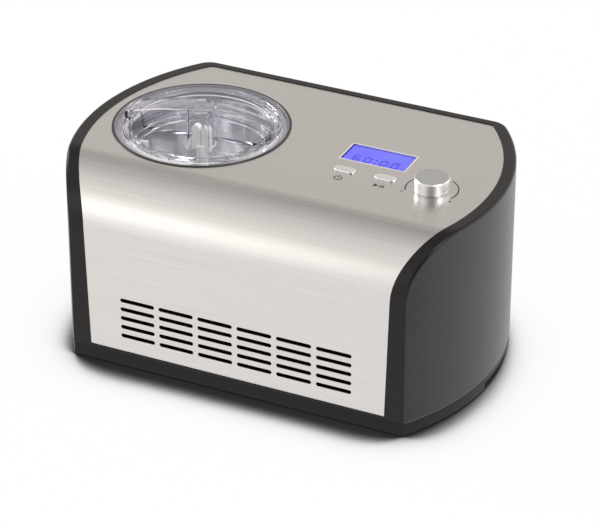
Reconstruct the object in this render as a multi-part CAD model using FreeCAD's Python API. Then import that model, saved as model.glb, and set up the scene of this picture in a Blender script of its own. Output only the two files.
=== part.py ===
"""Counter-top ice cream maker with its own cooling: a black moulded housing with bulged sides, one rolled sheet of
brushed steel for front and top, a cold well with a lift-out bowl, paddle and clear lid, and the cooling set inside.
Millimetres. X to the right, front towards -Y, Z up from the table; origin below the middle of the housing."""
import FreeCAD, Part
import math
import os

V = FreeCAD.Vector
UP = V(0, 0, 1)

# Housing
DEPTH = 270.0
HEIGHT = 198.0
MAX_WIDTH = 423.0
SIDE_BULGE = 39.5           # each side swells by this from the front edge to its widest place
WIDEST_DEPTH = 0.467 * DEPTH  # from the front to the widest place of the sides
BACK_CORNER_R = 20.0
FRONT_CORNER_R = 2.5
EDGE_R = 3.0                # rounding of the outer edge up the front, over the bend and round the top
ROLL_R = 0.211 * DEPTH      # rolled bend from front to top
WALL = 4.0
BASE_HEIGHT = 15.5          # parting line between base tray and housing
RIM_WIDTH = 12.0            # black rim left around the steel on the sides
RIM_BACK = 9.5
LEDGE = 5.0                 # ledge that carries the edge of the steel
PANEL_BOTTOM = 17.7
STILE_BOTTOM = 18.5         # black stile beside the steel at the bottom of the front
PANEL_GAP = 0.3
SHEET = 1.0
RIM_PROUD = 0.8             # rim above the steel
SEAM = 0.6                  # step of the base at the parting line

# Base tray and feet
FOOT_HEIGHT = 2.0
FOOT_R = 8.0
FOOT_STEM_R = 4.0
FOOT_SIDE = 91.5            # feet in from the widest place
FOOT_INSET = 40.0
TRAY_FLOOR = 3.0
GRIP_START = 108.0          # finger grips under the sides, from the front
GRIP_LENGTH = 90.0
GRIP_HEIGHT = 6.0
GRIP_DEPTH = 14.0
GRIP_WALL = 2.5
SCREW_R = 3.2
SCREW_HEAD = 2.4
SCREW_SHANK_R = 1.6
SCREW_LENGTH = 12.0
SCREW_BOSS_R = 5.0
SCREW_SIDE = 61.5           # base screws in from the widest place
SCREW_INSET = 22.0
FIT = 0.3                   # clearance between parts of different bodies
SNUG = 0.05                 # clearance of a turned fit

# Front air slots
SLOT_LENGTH = 36.0
SLOT_WIDTH = 4.2
SLOT_COLUMNS = 6
SLOT_ROWS = 5
SLOT_PITCH_X = 40.8
SLOT_PITCH_Z = 9.7
SLOT_TOP_Z = 74.0

# Rear air slots and cable gland
REAR_SLOT_LENGTH = 34.0
REAR_SLOT_WIDTH = 4.0
REAR_COLUMNS = 5
REAR_ROWS = 6
REAR_PITCH_X = 42.0
REAR_PITCH_Z = 10.0
REAR_TOP_Z = 130.0
GLAND_MARGIN = 12.0         # flat back wall left between the gland and the rounded corner
GLAND_Z = 40.0
GLAND_R = 8.0
GLAND_HOLE_R = 3.6
GLAND_FLANGE_R = 11.0
GLAND_FLANGE = 1.8          # sits in a pocket, flush with the back
GLAND_TAIL = 10.0

# Cold well, bowl, paddle and lid share one upright axis
WELL_SIDE_GAP = 13.0        # between the foam and the housing wall
WELL_DEPTH_POS = 0.53 * DEPTH
BOWL_R = 0.26 * DEPTH
RING_REACH = 16.4           # edge of the trim ring outside the bowl
RING_LIP = 3.0
RING_PROUD = 0.8
RING_SEAT_DROP = 4.0        # lid seat below the steel
RING_SEAT_WIDTH = 5.5
RING_SEAT_THICK = 5.0
RING_NECK = 1.5             # steel opening inside the lip
BOWL_WALL = 1.5
BOWL_HEIGHT = 115.0
BOWL_FLANGE_THICK = 1.2
BOWL_FLOOR_R = 8.0
BOWL_TUBE_R = 5.5
BOWL_TUBE_WALL = 1.5
BOWL_TUBE_HEIGHT = 28.0
WELL_GAP = 0.5
WELL_FLOOR_GAP = 1.0
WELL_WALL = 1.5
WELL_FLANGE = 12.0
SLEEVE_WALL = 1.2
SLEEVE_LENGTH = 90.0
SLEEVE_LOW = 12.0
FOAM_WALL = 16.0
FOAM_TOP_GAP = 0.3
LID_FLANGE_THICK = 2.5
LID_REST = 1.2              # width of the rib the flange stands on
LID_REST_DROP = 0.4         # height of that rib
LID_WALL = 2.4
LID_DISH_GAP = 1.2          # dish inside the bowl
LID_DRAFT = 1.4             # the dish narrows by this to its floor
LID_DISH_DEPTH = 16.5
LID_BEAD_REACH = 6.6        # outside of the raised bead beyond the bowl's wall
LID_BEAD = 2.8
LID_BEAD_RISE = 3.0
LID_STEP = 1.0              # gutter between the two raised edges, above the flange
LID_SOFT = 0.7              # chamfer on the raised edges
LID_SKIRT = 9.0
LID_SKIRT_GAP = 4.0         # skirt inside the bowl
LID_TUBE_R = 14.5
LID_TUBE_WALL = 2.0
LID_CREST = 20.5            # crest of the bridge above the steel
LID_BRIDGE_END = 7.5        # bridge above the steel at its two ends
LID_BRIDGE_WIDTH = 24.0
LID_TURN = 6.2              # degrees
LID_PIP_R = 2.0
LID_PAD_LENGTH = 22.0
LID_PAD_WIDTH = 9.0
LID_PAD_RISE = 0.8
LID_PAD_TURN = 261.0        # degrees round the lid
LID_MARK_SIDE = 7.0
LID_MARK_TURN = 308.0       # degrees round the lid
SHAFT_R = 4.0
SHAFT_FLAT = 3.0
SHAFT_FLAT_LENGTH = 12.0
BUSH_R = 8.0
BUSH_FLANGE_R = 12.0
BUSH_BELOW = 3.5            # bush flange and its gap, below the well
PADDLE_HUB_WALL = 2.4
PADDLE_BAR_HEIGHT = 7.0
PADDLE_BAR_THICK = 5.0
PADDLE_GAP = 0.8
PADDLE_BLADE_WIDTH = 9.0
PADDLE_BLADE_THICK = 3.5
PADDLE_BLADE_HEIGHT = 84.0
PADDLE_BLADE_TWIST = 24.0   # degrees over its height
PADDLE_MAST_R = 5.5
PADDLE_PRONG_WIDTH = 8.4
PADDLE_PRONG_THICK = 6.0
PADDLE_PRONG_SPLIT = 2.4
PADDLE_PRONG_RISE = 0.0     # prong tips above the steel
PADDLE_BRACE_Z = 62.0       # upper brace above the bowl floor

# Drive below the well
MOTOR_R = 36.0
MOTOR_HEIGHT = 38.0
MOTOR_NOSE_R = 14.0
MOTOR_SOCKET = 9.0
PLATE = 2.5
PLATE_RIM = 0.5             # bracket plate outside the foam
LEG_R = 6.0
LEG_INSET = 14.0
LEGS = 4
MOTOR_SCREW_CIRCLE_R = 28.0
MOTOR_SCREWS = 3

# Cooling set
COMP_SIDE = 133.5           # compressor in from the widest place
COMP_BACK = 66.0            # and from the back
COMP_R = 54.0
COMP_HEIGHT = 118.0
COMP_DOME = 26.0
COMP_FOOT_SPREAD = 58.0
COMP_FOOT = 3.0
COMP_FOOT_R = 11.0
GROMMET_R = 8.0
GROMMET_HEIGHT = 10.0
GROMMET_PIN_R = 3.0
COND_SIDE = 42.0            # condenser in from the base screws
COND_DEPTH_POS = 16.0
COND_DEPTH = 24.0
COND_LOW = 6.0
COND_HEIGHT = 104.0
FINS = 18
FIN_THICK = 0.8
COND_TUBE_R = 4.0
COND_TUBES = 3
COND_TUBE_ROWS = 1
FAN_X = 62.0
FAN_DEPTH_POS = 52.0
FAN_SIZE = 92.0
FAN_DEPTH = 25.0
FAN_HOLE_R = 43.0
FAN_HUB_R = 17.0
FAN_HUB_DEPTH = 18.0
FAN_BLADES = 7
FAN_BLADE_R = 40.0
FAN_BLADE_THICK = 2.0
FAN_BLADE_PITCH = 35.0      # degrees
FAN_SHAFT_R = 2.0
FAN_ARM = 6.0
FAN_ARM_THICK = 3.0
FAN_CORNER_R = 5.0
SUPPLY_SIDE = 51.5          # supply board in from the widest place
SUPPLY_DEPTH_POS = 110.0
SUPPLY_WIDTH = 52.0
SUPPLY_LENGTH = 84.0
BOARD = 1.6
SUPPLY_STAND = 8.0
SUPPLY_CORE = 26.0

# Controls on the top
DISPLAY_TO_KNOB = 69.3
DISPLAY_DEPTH_POS = 154.6
DISPLAY_WIDTH = 64.6
DISPLAY_LENGTH = 31.0
DISPLAY_DROP = 1.7          # display face below the steel
DISPLAY_GAP = 0.4
BUTTON_LENGTH = 22.0
BUTTON_WIDTH = 9.5
BUTTON_PROUD = 1.8
BUTTON_TRAVEL = 1.0
BUTTON_FLANGE = 1.4
BUTTON_FLANGE_THICK = 1.5
BUTTON_EDGE_R = 1.0
POWER_TO_KNOB = 87.7
POWER_DEPTH_POS = 117.8
START_TO_KNOB = 46.9
START_DEPTH_POS = 119.0
SWITCH_SIDE = 6.0
SWITCH_HEIGHT = 3.5
KNOB_SIDE = 64.5            # knob in from the widest place
KNOB_DEPTH_POS = 118.7
KNOB_R = 16.9
KNOB_HEIGHT = 12.4
KNOB_EDGE = 1.2
KNOB_GROOVE = 0.5
KNOB_SKIRT = 1.4
ENCODER_SIDE = 13.0
ENCODER_HEIGHT = 6.5
ENCODER_NOSE_R = 4.5
ENCODER_SHAFT_R = 3.0
CARRIER_SIDE = 33.5         # control carrier in from the widest place
CARRIER_WIDTH = 148.0
CARRIER_FRONT = 96.0
CARRIER_BACK = 180.0
CARRIER_THICK = 3.0
CARRIER_POST_R = 3.5
CARRIER_POST_INSET = 6.0
CARRIER_CORNER_R = 6.0
BOARD_DROP = 8.0            # board below the carrier

# Derived places
FRONT = -DEPTH / 2
BACK = DEPTH / 2
WIDEST = MAX_WIDTH / 2
SIDE_R = (WIDEST_DEPTH ** 2 + SIDE_BULGE ** 2) / (2 * SIDE_BULGE)
SIDE_X = WIDEST - SIDE_R
SIDE_Y = FRONT + WIDEST_DEPTH
ROLL_Z = HEIGHT - ROLL_R
DECK = HEIGHT - RIM_PROUD
DECK_UNDER = DECK - SHEET
FLOOR = FOOT_HEIGHT + TRAY_FLOOR
WELL_Y = FRONT + WELL_DEPTH_POS
FAR = 2 * MAX_WIDTH
SCREW_X = WIDEST - SCREW_SIDE
FOOT_X = WIDEST - FOOT_SIDE
COMP_X = WIDEST - COMP_SIDE
COMP_DEPTH_POS = DEPTH - COMP_BACK
COND_WIDTH = 2 * (SCREW_X - COND_SIDE)
SUPPLY_X = WIDEST - SUPPLY_SIDE
KNOB_X = WIDEST - KNOB_SIDE
DISPLAY_X = KNOB_X - DISPLAY_TO_KNOB
POWER_X = KNOB_X - POWER_TO_KNOB
START_X = KNOB_X - START_TO_KNOB
CARRIER_RIGHT = WIDEST - CARRIER_SIDE
CARRIER_LEFT = CARRIER_RIGHT - CARRIER_WIDTH

RING_R = BOWL_R + RING_REACH
RING_IN = RING_R - RING_LIP
RING_HOLE = RING_R - RING_NECK
SEAT_Z = DECK - RING_SEAT_DROP
RING_LOW = SEAT_Z - RING_SEAT_THICK
RING_BORE = RING_IN - RING_SEAT_WIDTH
BOWL_OUT = BOWL_R + BOWL_WALL
BOWL_LOW = RING_LOW + BOWL_FLANGE_THICK - BOWL_HEIGHT
BOWL_FLOOR = BOWL_LOW + BOWL_WALL
BOWL_TUBE_TOP = BOWL_LOW + BOWL_TUBE_HEIGHT
WELL_IN = BOWL_OUT + WELL_GAP
WELL_OUT = WELL_IN + WELL_WALL
WELL_FLOOR = BOWL_LOW - WELL_FLOOR_GAP
WELL_LOW = WELL_FLOOR - WELL_WALL
SLEEVE_IN = WELL_OUT + FIT
SLEEVE_OUT = SLEEVE_IN + SLEEVE_WALL
FOAM_IN = SLEEVE_OUT + FIT
FOAM_OUT = FOAM_IN + FOAM_WALL
WELL_X = WELL_SIDE_GAP + WALL + FOAM_OUT - WIDEST
PLATE_R = FOAM_OUT + PLATE_RIM
LEG_CIRCLE_R = PLATE_R - LEG_INSET
PLATE_TOP = WELL_LOW - BUSH_BELOW
MOTOR_TOP = PLATE_TOP - PLATE
MOTOR_LOW = MOTOR_TOP - MOTOR_HEIGHT
SHAFT_LOW = PLATE_TOP - MOTOR_SOCKET + FIT
SOCKET_LOW = BOWL_TUBE_TOP + PADDLE_GAP
SHAFT_TOP = SOCKET_LOW + SHAFT_FLAT_LENGTH
LID_FLOOR = DECK - LID_DISH_DEPTH
LID_EDGE_Z = SEAT_Z + LID_FLANGE_THICK + LID_BEAD_RISE
CARRIER_LOW = DECK_UNDER - CARRIER_THICK
BOARD_TOP = CARRIER_LOW - BOARD_DROP


def depth(distance):
    """Y of a place measured back from the front."""
    return FRONT + distance


def side_x(inset, y):
    """Half width of the housing at y, inset square to the bulged side."""
    return SIDE_X + math.sqrt((SIDE_R - inset) ** 2 - (y - SIDE_Y) ** 2)


def upright_edges(solid, y, tolerance=0.5):
    """Upright edges of a solid that lie at one depth."""
    found = []
    for edge in solid.Edges:
        box = edge.BoundBox
        if box.ZLength > 1 and box.XLength + box.YLength < 0.01 and abs(box.Center.y - y) < tolerance:
            found.append(edge)
    return found


def rim_edges(solid):
    """The run of edges up the front corners, over the bend and round the top, without the tangent lines across."""
    found = upright_edges(solid, FRONT)
    for edge in solid.Edges:
        box = edge.BoundBox
        upright = box.XLength + box.YLength < EDGE_R
        across = box.YLength + box.ZLength < EDGE_R and box.Center.y < BACK - EDGE_R
        if not upright and not across and box.ZMax > ROLL_Z:
            found.append(edge)
    return found


def plan(inset, front, back, low, high, corner):
    """Upright prism over the plan: straight front and back, sides bulged to arcs, rounded back corners."""
    xf = side_x(inset, front)
    xb = side_x(inset, back)
    xm = side_x(inset, SIDE_Y)
    right = Part.Arc(V(xf, front, low), V(xm, SIDE_Y, low), V(xb, back, low)).toShape()
    left = Part.Arc(V(-xb, back, low), V(-xm, SIDE_Y, low), V(-xf, front, low)).toShape()
    rear = Part.LineSegment(V(xb, back, low), V(-xb, back, low)).toShape()
    face = Part.LineSegment(V(-xf, front, low), V(xf, front, low)).toShape()
    solid = Part.Face(Part.Wire([face, right, rear, left])).extrude(V(0, 0, high - low))
    return solid.makeFillet(corner, upright_edges(solid, back))


def rolled(inset, low):
    """Everything under the side profile: upright front, rolled bend, level top, open towards the back."""
    y0 = FRONT + inset
    yc = FRONT + ROLL_R
    radius = ROLL_R - inset
    bend = radius * math.sqrt(0.5)
    top = ROLL_Z + radius
    a = V(-FAR, y0, low)
    b = V(-FAR, y0, ROLL_Z)
    m = V(-FAR, yc - bend, ROLL_Z + bend)
    c = V(-FAR, yc, top)
    d = V(-FAR, BACK + FAR, top)
    e = V(-FAR, BACK + FAR, low)
    edges = [Part.LineSegment(a, b).toShape(), Part.Arc(b, m, c).toShape()]
    edges += [Part.LineSegment(p, q).toShape() for p, q in ((c, d), (d, e), (e, a))]
    return Part.Face(Part.Wire(edges)).extrude(V(2 * FAR, 0, 0))


def panel_zone(inset, lift):
    """Upright zone that the steel covers, drawn in by inset, with the tapered front below the bend."""
    reach = FRONT - WALL
    corner = max(BACK_CORNER_R - RIM_WIDTH - inset, EDGE_R / 2)
    zone = plan(RIM_WIDTH + inset, reach, BACK - RIM_BACK - inset, BASE_HEIGHT, HEIGHT + WALL, corner)
    xt = side_x(RIM_WIDTH + inset, FRONT)
    xl = WIDEST - SIDE_BULGE - STILE_BOTTOM - inset
    low = PANEL_BOTTOM + lift
    points = [V(-xl, reach, low), V(xl, reach, low), V(xt, reach, ROLL_Z), V(FAR, reach, ROLL_Z)]
    points += [V(FAR, reach, HEIGHT + WALL), V(-FAR, reach, HEIGHT + WALL), V(-FAR, reach, ROLL_Z), V(-xt, reach, ROLL_Z)]
    gate = Part.Face(Part.makePolygon(points + points[:1])).extrude(V(0, 2 * DEPTH, 0))
    return zone.common(gate)


def pill(length, width, x, y, low, high):
    """Upright prism with a straight-sided, round-ended outline along X."""
    r = width / 2
    h = length / 2 - r
    p = [V(x - h, y - r, low), V(x + h, y - r, low), V(x + h, y + r, low), V(x - h, y + r, low)]
    edges = [Part.LineSegment(p[0], p[1]).toShape(), Part.Arc(p[1], V(x + h + r, y, low), p[2]).toShape()]
    edges += [Part.LineSegment(p[2], p[3]).toShape(), Part.Arc(p[3], V(x - h - r, y, low), p[0]).toShape()]
    return Part.Face(Part.Wire(edges)).extrude(V(0, 0, high - low))


def wall_slot(length, width, x, z, y0, y1):
    """Round-ended slot through an upright wall."""
    slot = pill(length, width, 0, 0, 0, y1 - y0)
    slot.rotate(V(0, 0, 0), V(1, 0, 0), -90)
    slot.translate(V(x, y0, z))
    return slot


def rod(r, low, high, x, y):
    return Part.makeCylinder(r, high - low, V(x, y, low))


def tube(r_out, r_in, low, high, x, y):
    return rod(r_out, low, high, x, y).cut(rod(r_in, low, high, x, y))


def block(x0, x1, y0, y1, z0, z1):
    return Part.makeBox(x1 - x0, y1 - y0, z1 - z0, V(x0, y0, z0))


def turned(points, x, y):
    """Solid of revolution from a closed (r, z) outline."""
    wire = Part.makePolygon([V(r, 0, z) for r, z in points + points[:1]])
    solid = Part.Face(wire).revolve(V(0, 0, 0), UP, 360)
    solid.translate(V(x, y, 0))
    return solid


def fused(shapes):
    whole = shapes[0].multiFuse(shapes[1:]) if len(shapes) > 1 else shapes[0]
    return whole.removeSplitter()


def ring_of(count, r, x, y, start=0.0):
    """Places spread evenly round a circle."""
    turns = [math.radians(start + 360.0 * k / count) for k in range(count)]
    return [(x + r * math.cos(t), y + r * math.sin(t)) for t in turns]


def corners(x0, x1, y0, y1):
    return [(x0, y0), (x1, y0), (x1, y1), (x0, y1)]


FEET = corners(-FOOT_X, FOOT_X, depth(FOOT_INSET), BACK - FOOT_INSET)
SCREWS = corners(-SCREW_X, SCREW_X, depth(SCREW_INSET), BACK - SCREW_INSET)
LEG_PLACES = ring_of(LEGS, LEG_CIRCLE_R, WELL_X, WELL_Y, 45)
MOTOR_SCREW_PLACES = ring_of(MOTOR_SCREWS, MOTOR_SCREW_CIRCLE_R, WELL_X, WELL_Y, 90)
COMP_Y = depth(COMP_DEPTH_POS)
COMP_FEET = ring_of(3, COMP_FOOT_SPREAD, COMP_X, COMP_Y, 30)
SUPPLY_Y = depth(SUPPLY_DEPTH_POS)
SUPPLY_POSTS = corners(SUPPLY_X - SUPPLY_WIDTH / 2 + CARRIER_POST_INSET, SUPPLY_X + SUPPLY_WIDTH / 2 - CARRIER_POST_INSET,
                       SUPPLY_Y - SUPPLY_LENGTH / 2 + CARRIER_POST_INSET, SUPPLY_Y + SUPPLY_LENGTH / 2 - CARRIER_POST_INSET)
BUTTONS = {"power_button": (POWER_X, depth(POWER_DEPTH_POS)), "start_button": (START_X, depth(START_DEPTH_POS))}
KNOB_Y = depth(KNOB_DEPTH_POS)
GLAND_X = BACK_CORNER_R + GLAND_FLANGE_R + GLAND_MARGIN - side_x(0, BACK)
DISPLAY_Y = depth(DISPLAY_DEPTH_POS)
BOARD_POSTS = corners(CARRIER_LEFT + CARRIER_POST_INSET, CARRIER_RIGHT - CARRIER_POST_INSET,
                      depth(CARRIER_FRONT) + CARRIER_POST_INSET, depth(CARRIER_BACK) - CARRIER_POST_INSET)
nodes = {}


def base_tray():
    """Open tray with finger grips under both sides, bosses for the screws and pads for the feet."""
    inset = SEAM
    corner = BACK_CORNER_R - inset
    body = plan(inset, FRONT + inset, BACK - inset, FOOT_HEIGHT, BASE_HEIGHT, corner)
    body = body.makeFillet(FRONT_CORNER_R, upright_edges(body, FRONT + inset))
    inner = inset + WALL
    hollow = plan(inner, FRONT + inner, BACK - inner, FLOOR, BASE_HEIGHT, BACK_CORNER_R - inner)
    y0 = depth(GRIP_START)
    y1 = y0 + GRIP_LENGTH
    top = FOOT_HEIGHT + GRIP_HEIGHT
    kept = plan(inset + GRIP_DEPTH, FRONT, BACK, 0, BASE_HEIGHT, FRONT_CORNER_R)
    kept_wall = plan(inset + GRIP_DEPTH + GRIP_WALL, FRONT, BACK, 0, BASE_HEIGHT, FRONT_CORNER_R)
    grips = block(-FAR, FAR, y0, y1, 0, top).cut(kept)
    linings = block(-FAR, FAR, y0 - GRIP_WALL, y1 + GRIP_WALL, 0, top + GRIP_WALL).cut(kept_wall)
    tray = body.cut(hollow.cut(linings)).cut(grips)
    bosses = [rod(SCREW_BOSS_R, FLOOR, BASE_HEIGHT, x, y) for x, y in SCREWS]
    bosses += [rod(CARRIER_POST_R, FLOOR, FLOOR + SUPPLY_STAND, x, y) for x, y in SUPPLY_POSTS]
    bosses += [rod(GROMMET_PIN_R - SNUG, FLOOR, FLOOR + GROMMET_HEIGHT + COMP_FOOT, x, y) for x, y in COMP_FEET]
    tray = fused([tray] + bosses)
    drills = [rod(SCREW_SHANK_R + SNUG, FOOT_HEIGHT, BASE_HEIGHT, x, y) for x, y in SCREWS]
    drills += [rod(SCREW_R + FIT, FOOT_HEIGHT, FOOT_HEIGHT + SCREW_HEAD, x, y) for x, y in SCREWS]
    drills += [rod(FOOT_STEM_R, FOOT_HEIGHT, FLOOR, x, y) for x, y in FEET]
    return tray.cut(Part.makeCompound(drills))


def housing_shell():
    """One moulding: both bulged sides, back, front stiles and the rim round the steel, with a rebate for the steel."""
    block_out = plan(0, FRONT - WALL, BACK, BASE_HEIGHT, HEIGHT + WALL, BACK_CORNER_R)
    outer = block_out.common(rolled(0, 0))
    outer = outer.makeFillet(EDGE_R, rim_edges(outer))
    rebate = RIM_PROUD + SHEET + SNUG
    corner = max(BACK_CORNER_R - WALL, EDGE_R)
    inner = plan(WALL, FRONT + WALL, BACK - WALL, 0, HEIGHT + WALL, corner)
    inner = inner.makeFillet(FRONT_CORNER_R, upright_edges(inner, FRONT + WALL)).common(rolled(WALL, -WALL))
    shell = outer.cut(inner)
    shell = shell.cut(panel_zone(0, 0).cut(rolled(rebate, 0)))
    shell = shell.cut(panel_zone(LEDGE, LEDGE))
    x0 = -REAR_PITCH_X * (REAR_COLUMNS - 1) / 2
    cuts = []
    for row in range(REAR_ROWS):
        for column in range(REAR_COLUMNS):
            x = x0 + REAR_PITCH_X * column
            z = REAR_TOP_Z - REAR_PITCH_Z * row
            cuts.append(wall_slot(REAR_SLOT_LENGTH, REAR_SLOT_WIDTH, x, z, BACK - 2 * WALL, BACK + WALL))
    cuts.append(Part.makeCylinder(GLAND_R, 3 * WALL, V(GLAND_X, BACK - 2 * WALL, GLAND_Z), V(0, 1, 0)))
    cuts.append(Part.makeCylinder(GLAND_FLANGE_R + FIT, WALL, V(GLAND_X, BACK - GLAND_FLANGE, GLAND_Z), V(0, 1, 0)))
    shell = shell.cut(Part.makeCompound(cuts))
    columns = []
    for x, y in SCREWS:
        columns.append(rod(SCREW_BOSS_R, BASE_HEIGHT, BASE_HEIGHT + SCREW_LENGTH, x, y).common(block_out))
        edge = math.copysign(FAR, x)
        reach = block(min(x, edge), max(x, edge), y - WALL / 2, y + WALL / 2, BASE_HEIGHT, BASE_HEIGHT + SCREW_LENGTH)
        columns.append(reach.common(block_out))
    shell = fused([shell] + columns)
    drills = [rod(SCREW_SHANK_R + SNUG, BASE_HEIGHT, BASE_HEIGHT + SCREW_LENGTH - WALL, x, y) for x, y in SCREWS]
    return shell.cut(Part.makeCompound(drills))


def top_front_panel():
    """One steel sheet rolled from front to top, with its openings."""
    sheet = rolled(RIM_PROUD, 0).cut(rolled(RIM_PROUD + SHEET, -SHEET)).common(panel_zone(PANEL_GAP, PANEL_GAP))
    cuts = [rod(RING_HOLE, 0, HEIGHT + WALL, WELL_X, WELL_Y)]
    half_w = DISPLAY_WIDTH / 2
    half_l = DISPLAY_LENGTH / 2
    cuts.append(block(DISPLAY_X - half_w, DISPLAY_X + half_w, DISPLAY_Y - half_l, DISPLAY_Y + half_l, ROLL_Z, HEIGHT))
    for x, y in BUTTONS.values():
        cuts.append(pill(BUTTON_LENGTH + 2 * FIT, BUTTON_WIDTH + 2 * FIT, x, y, ROLL_Z, HEIGHT))
    cuts.append(rod(ENCODER_NOSE_R + FIT, ROLL_Z, HEIGHT, KNOB_X, KNOB_Y))
    x0 = -SLOT_PITCH_X * (SLOT_COLUMNS - 1) / 2
    for row in range(SLOT_ROWS):
        for column in range(SLOT_COLUMNS):
            x = x0 + SLOT_PITCH_X * column
            z = SLOT_TOP_Z - SLOT_PITCH_Z * row
            cuts.append(wall_slot(SLOT_LENGTH, SLOT_WIDTH, x, z, FRONT - WALL, FRONT + WALL))
    return sheet.cut(Part.makeCompound(cuts))


def well_ring():
    """Trim ring that closes the edge of the opening, carries the lid on its seat and hangs the well."""
    top = DECK + RING_PROUD
    soft = RING_PROUD / 2
    outline = [(RING_R, DECK), (RING_R, top - soft), (RING_R - soft, top), (RING_IN + soft, top), (RING_IN, top - soft)]
    outline += [(RING_IN, SEAT_Z), (RING_BORE, SEAT_Z), (RING_BORE, RING_LOW)]
    outline += [(RING_HOLE - FIT, RING_LOW), (RING_HOLE - FIT, DECK)]
    return turned(outline, WELL_X, WELL_Y)


def freezing_well():
    """Pressed aluminium pot with a flange that hangs under the ring."""
    outline = [(BUSH_R + SNUG, WELL_LOW), (WELL_OUT, WELL_LOW), (WELL_OUT, RING_LOW - WELL_WALL)]
    outline += [(WELL_OUT + WELL_FLANGE, RING_LOW - WELL_WALL), (WELL_OUT + WELL_FLANGE, RING_LOW), (WELL_IN, RING_LOW)]
    outline += [(WELL_IN, WELL_FLOOR), (BUSH_R + SNUG, WELL_FLOOR)]
    return turned(outline, WELL_X, WELL_Y)


def evaporator_sleeve():
    low = WELL_LOW + SLEEVE_LOW
    return tube(SLEEVE_OUT, SLEEVE_IN, low, low + SLEEVE_LENGTH, WELL_X, WELL_Y)


def insulation_jacket():
    top = RING_LOW - WELL_WALL - FOAM_TOP_GAP
    foam = tube(FOAM_OUT, FOAM_IN, PLATE_TOP, top, WELL_X, WELL_Y)
    step = tube(FOAM_IN, WELL_OUT + FIT, PLATE_TOP, WELL_LOW + SLEEVE_LOW - FIT, WELL_X, WELL_Y)
    return fused([foam, step])


def mixing_bowl():
    """Drawn bowl with a rolled-out flange, a rounded floor and the tube that the shaft comes up through."""
    tube_out = BOWL_TUBE_R + BOWL_TUBE_WALL
    top = RING_LOW + BOWL_FLANGE_THICK
    outer = rod(BOWL_OUT, BOWL_LOW, RING_LOW, 0, 0)
    inner = rod(BOWL_R, BOWL_FLOOR, top, 0, 0)
    outer = outer.makeFillet(BOWL_FLOOR_R + BOWL_WALL, [e for e in outer.Edges if e.BoundBox.ZMax < BOWL_LOW + 0.1])
    inner = inner.makeFillet(BOWL_FLOOR_R, [e for e in inner.Edges if e.BoundBox.ZMax < BOWL_FLOOR + 0.1])
    flange = rod(RING_BORE - FIT, RING_LOW, top, 0, 0)
    bowl = fused([outer, flange]).cut(inner)
    bowl = fused([bowl, rod(tube_out, BOWL_LOW, BOWL_TUBE_TOP, 0, 0)])
    bowl = bowl.cut(rod(BOWL_TUBE_R, BOWL_LOW, BOWL_TUBE_TOP, 0, 0))
    bowl.translate(V(WELL_X, WELL_Y, 0))
    return bowl


def flatted(r, flat, low, high):
    """Rod with two flats."""
    return rod(r, low, high, 0, 0).common(block(-r, r, -flat, flat, low, high))


def mixing_paddle():
    """Hub over the bowl's tube, two twisted scrapers on a floor bar, a mast and a forked top that shows in the lid."""
    hub_in = BOWL_TUBE_R + BOWL_TUBE_WALL + PADDLE_GAP
    hub_out = hub_in + PADDLE_HUB_WALL
    low = BOWL_FLOOR + PADDLE_GAP
    hub_top = SHAFT_TOP + PADDLE_HUB_WALL + PADDLE_GAP
    reach = BOWL_R - PADDLE_GAP
    centre = reach - PADDLE_GAP - PADDLE_BLADE_WIDTH / 2
    half = PADDLE_BAR_THICK / 2
    pieces = [rod(hub_out, low, hub_top, 0, 0)]
    pieces.append(block(-centre, centre, -half, half, low, low + PADDLE_BAR_HEIGHT))
    brace = BOWL_FLOOR + PADDLE_BRACE_Z
    pieces.append(block(-centre, centre, -half, half, brace, brace + PADDLE_BAR_HEIGHT))
    prong_top = DECK + PADDLE_PRONG_RISE
    prong_low = LID_FLOOR - LID_SKIRT
    pieces.append(rod(PADDLE_MAST_R, low, prong_low + PADDLE_PRONG_WIDTH / 2, 0, 0))
    for side in (-1, 1):
        middle = side * (PADDLE_PRONG_SPLIT + PADDLE_PRONG_WIDTH) / 2
        x0 = middle - PADDLE_PRONG_WIDTH / 2
        r = PADDLE_PRONG_WIDTH / 2
        t = PADDLE_PRONG_THICK / 2
        pieces.append(block(x0, x0 + PADDLE_PRONG_WIDTH, -t, t, prong_low, prong_top - r))
        pieces.append(Part.makeCylinder(r, 2 * t, V(middle, -t, prong_top - r), V(0, 1, 0)))
        sections = []
        for step in (0.0, 0.5, 1.0):
            turn = FreeCAD.Rotation(UP, PADDLE_BLADE_TWIST * (step - 0.5))
            z = low + PADDLE_BAR_HEIGHT / 2 + step * PADDLE_BLADE_HEIGHT
            w = PADDLE_BLADE_WIDTH / 2
            b = PADDLE_BLADE_THICK / 2
            points = []
            for px, py in corners(-w, w, -b, b):
                points.append(turn.multVec(V(px, py, 0)) + V(side * centre, 0, z))
            sections.append(Part.makePolygon(points + points[:1]))
        pieces.append(Part.makeLoft(sections, True, False))
    bridge = PADDLE_PRONG_SPLIT + 2 * PADDLE_PRONG_WIDTH
    pieces.append(block(-bridge / 2, bridge / 2, -PADDLE_PRONG_THICK / 2, PADDLE_PRONG_THICK / 2, prong_low - half, prong_low + half))
    paddle = fused(pieces)
    paddle = paddle.cut(rod(hub_in, low, SOCKET_LOW, 0, 0))
    paddle = paddle.cut(flatted(SHAFT_R + FIT, SHAFT_FLAT + FIT, SOCKET_LOW, SHAFT_TOP + PADDLE_GAP))
    paddle.translate(V(WELL_X, WELL_Y, 0))
    return paddle


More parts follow.
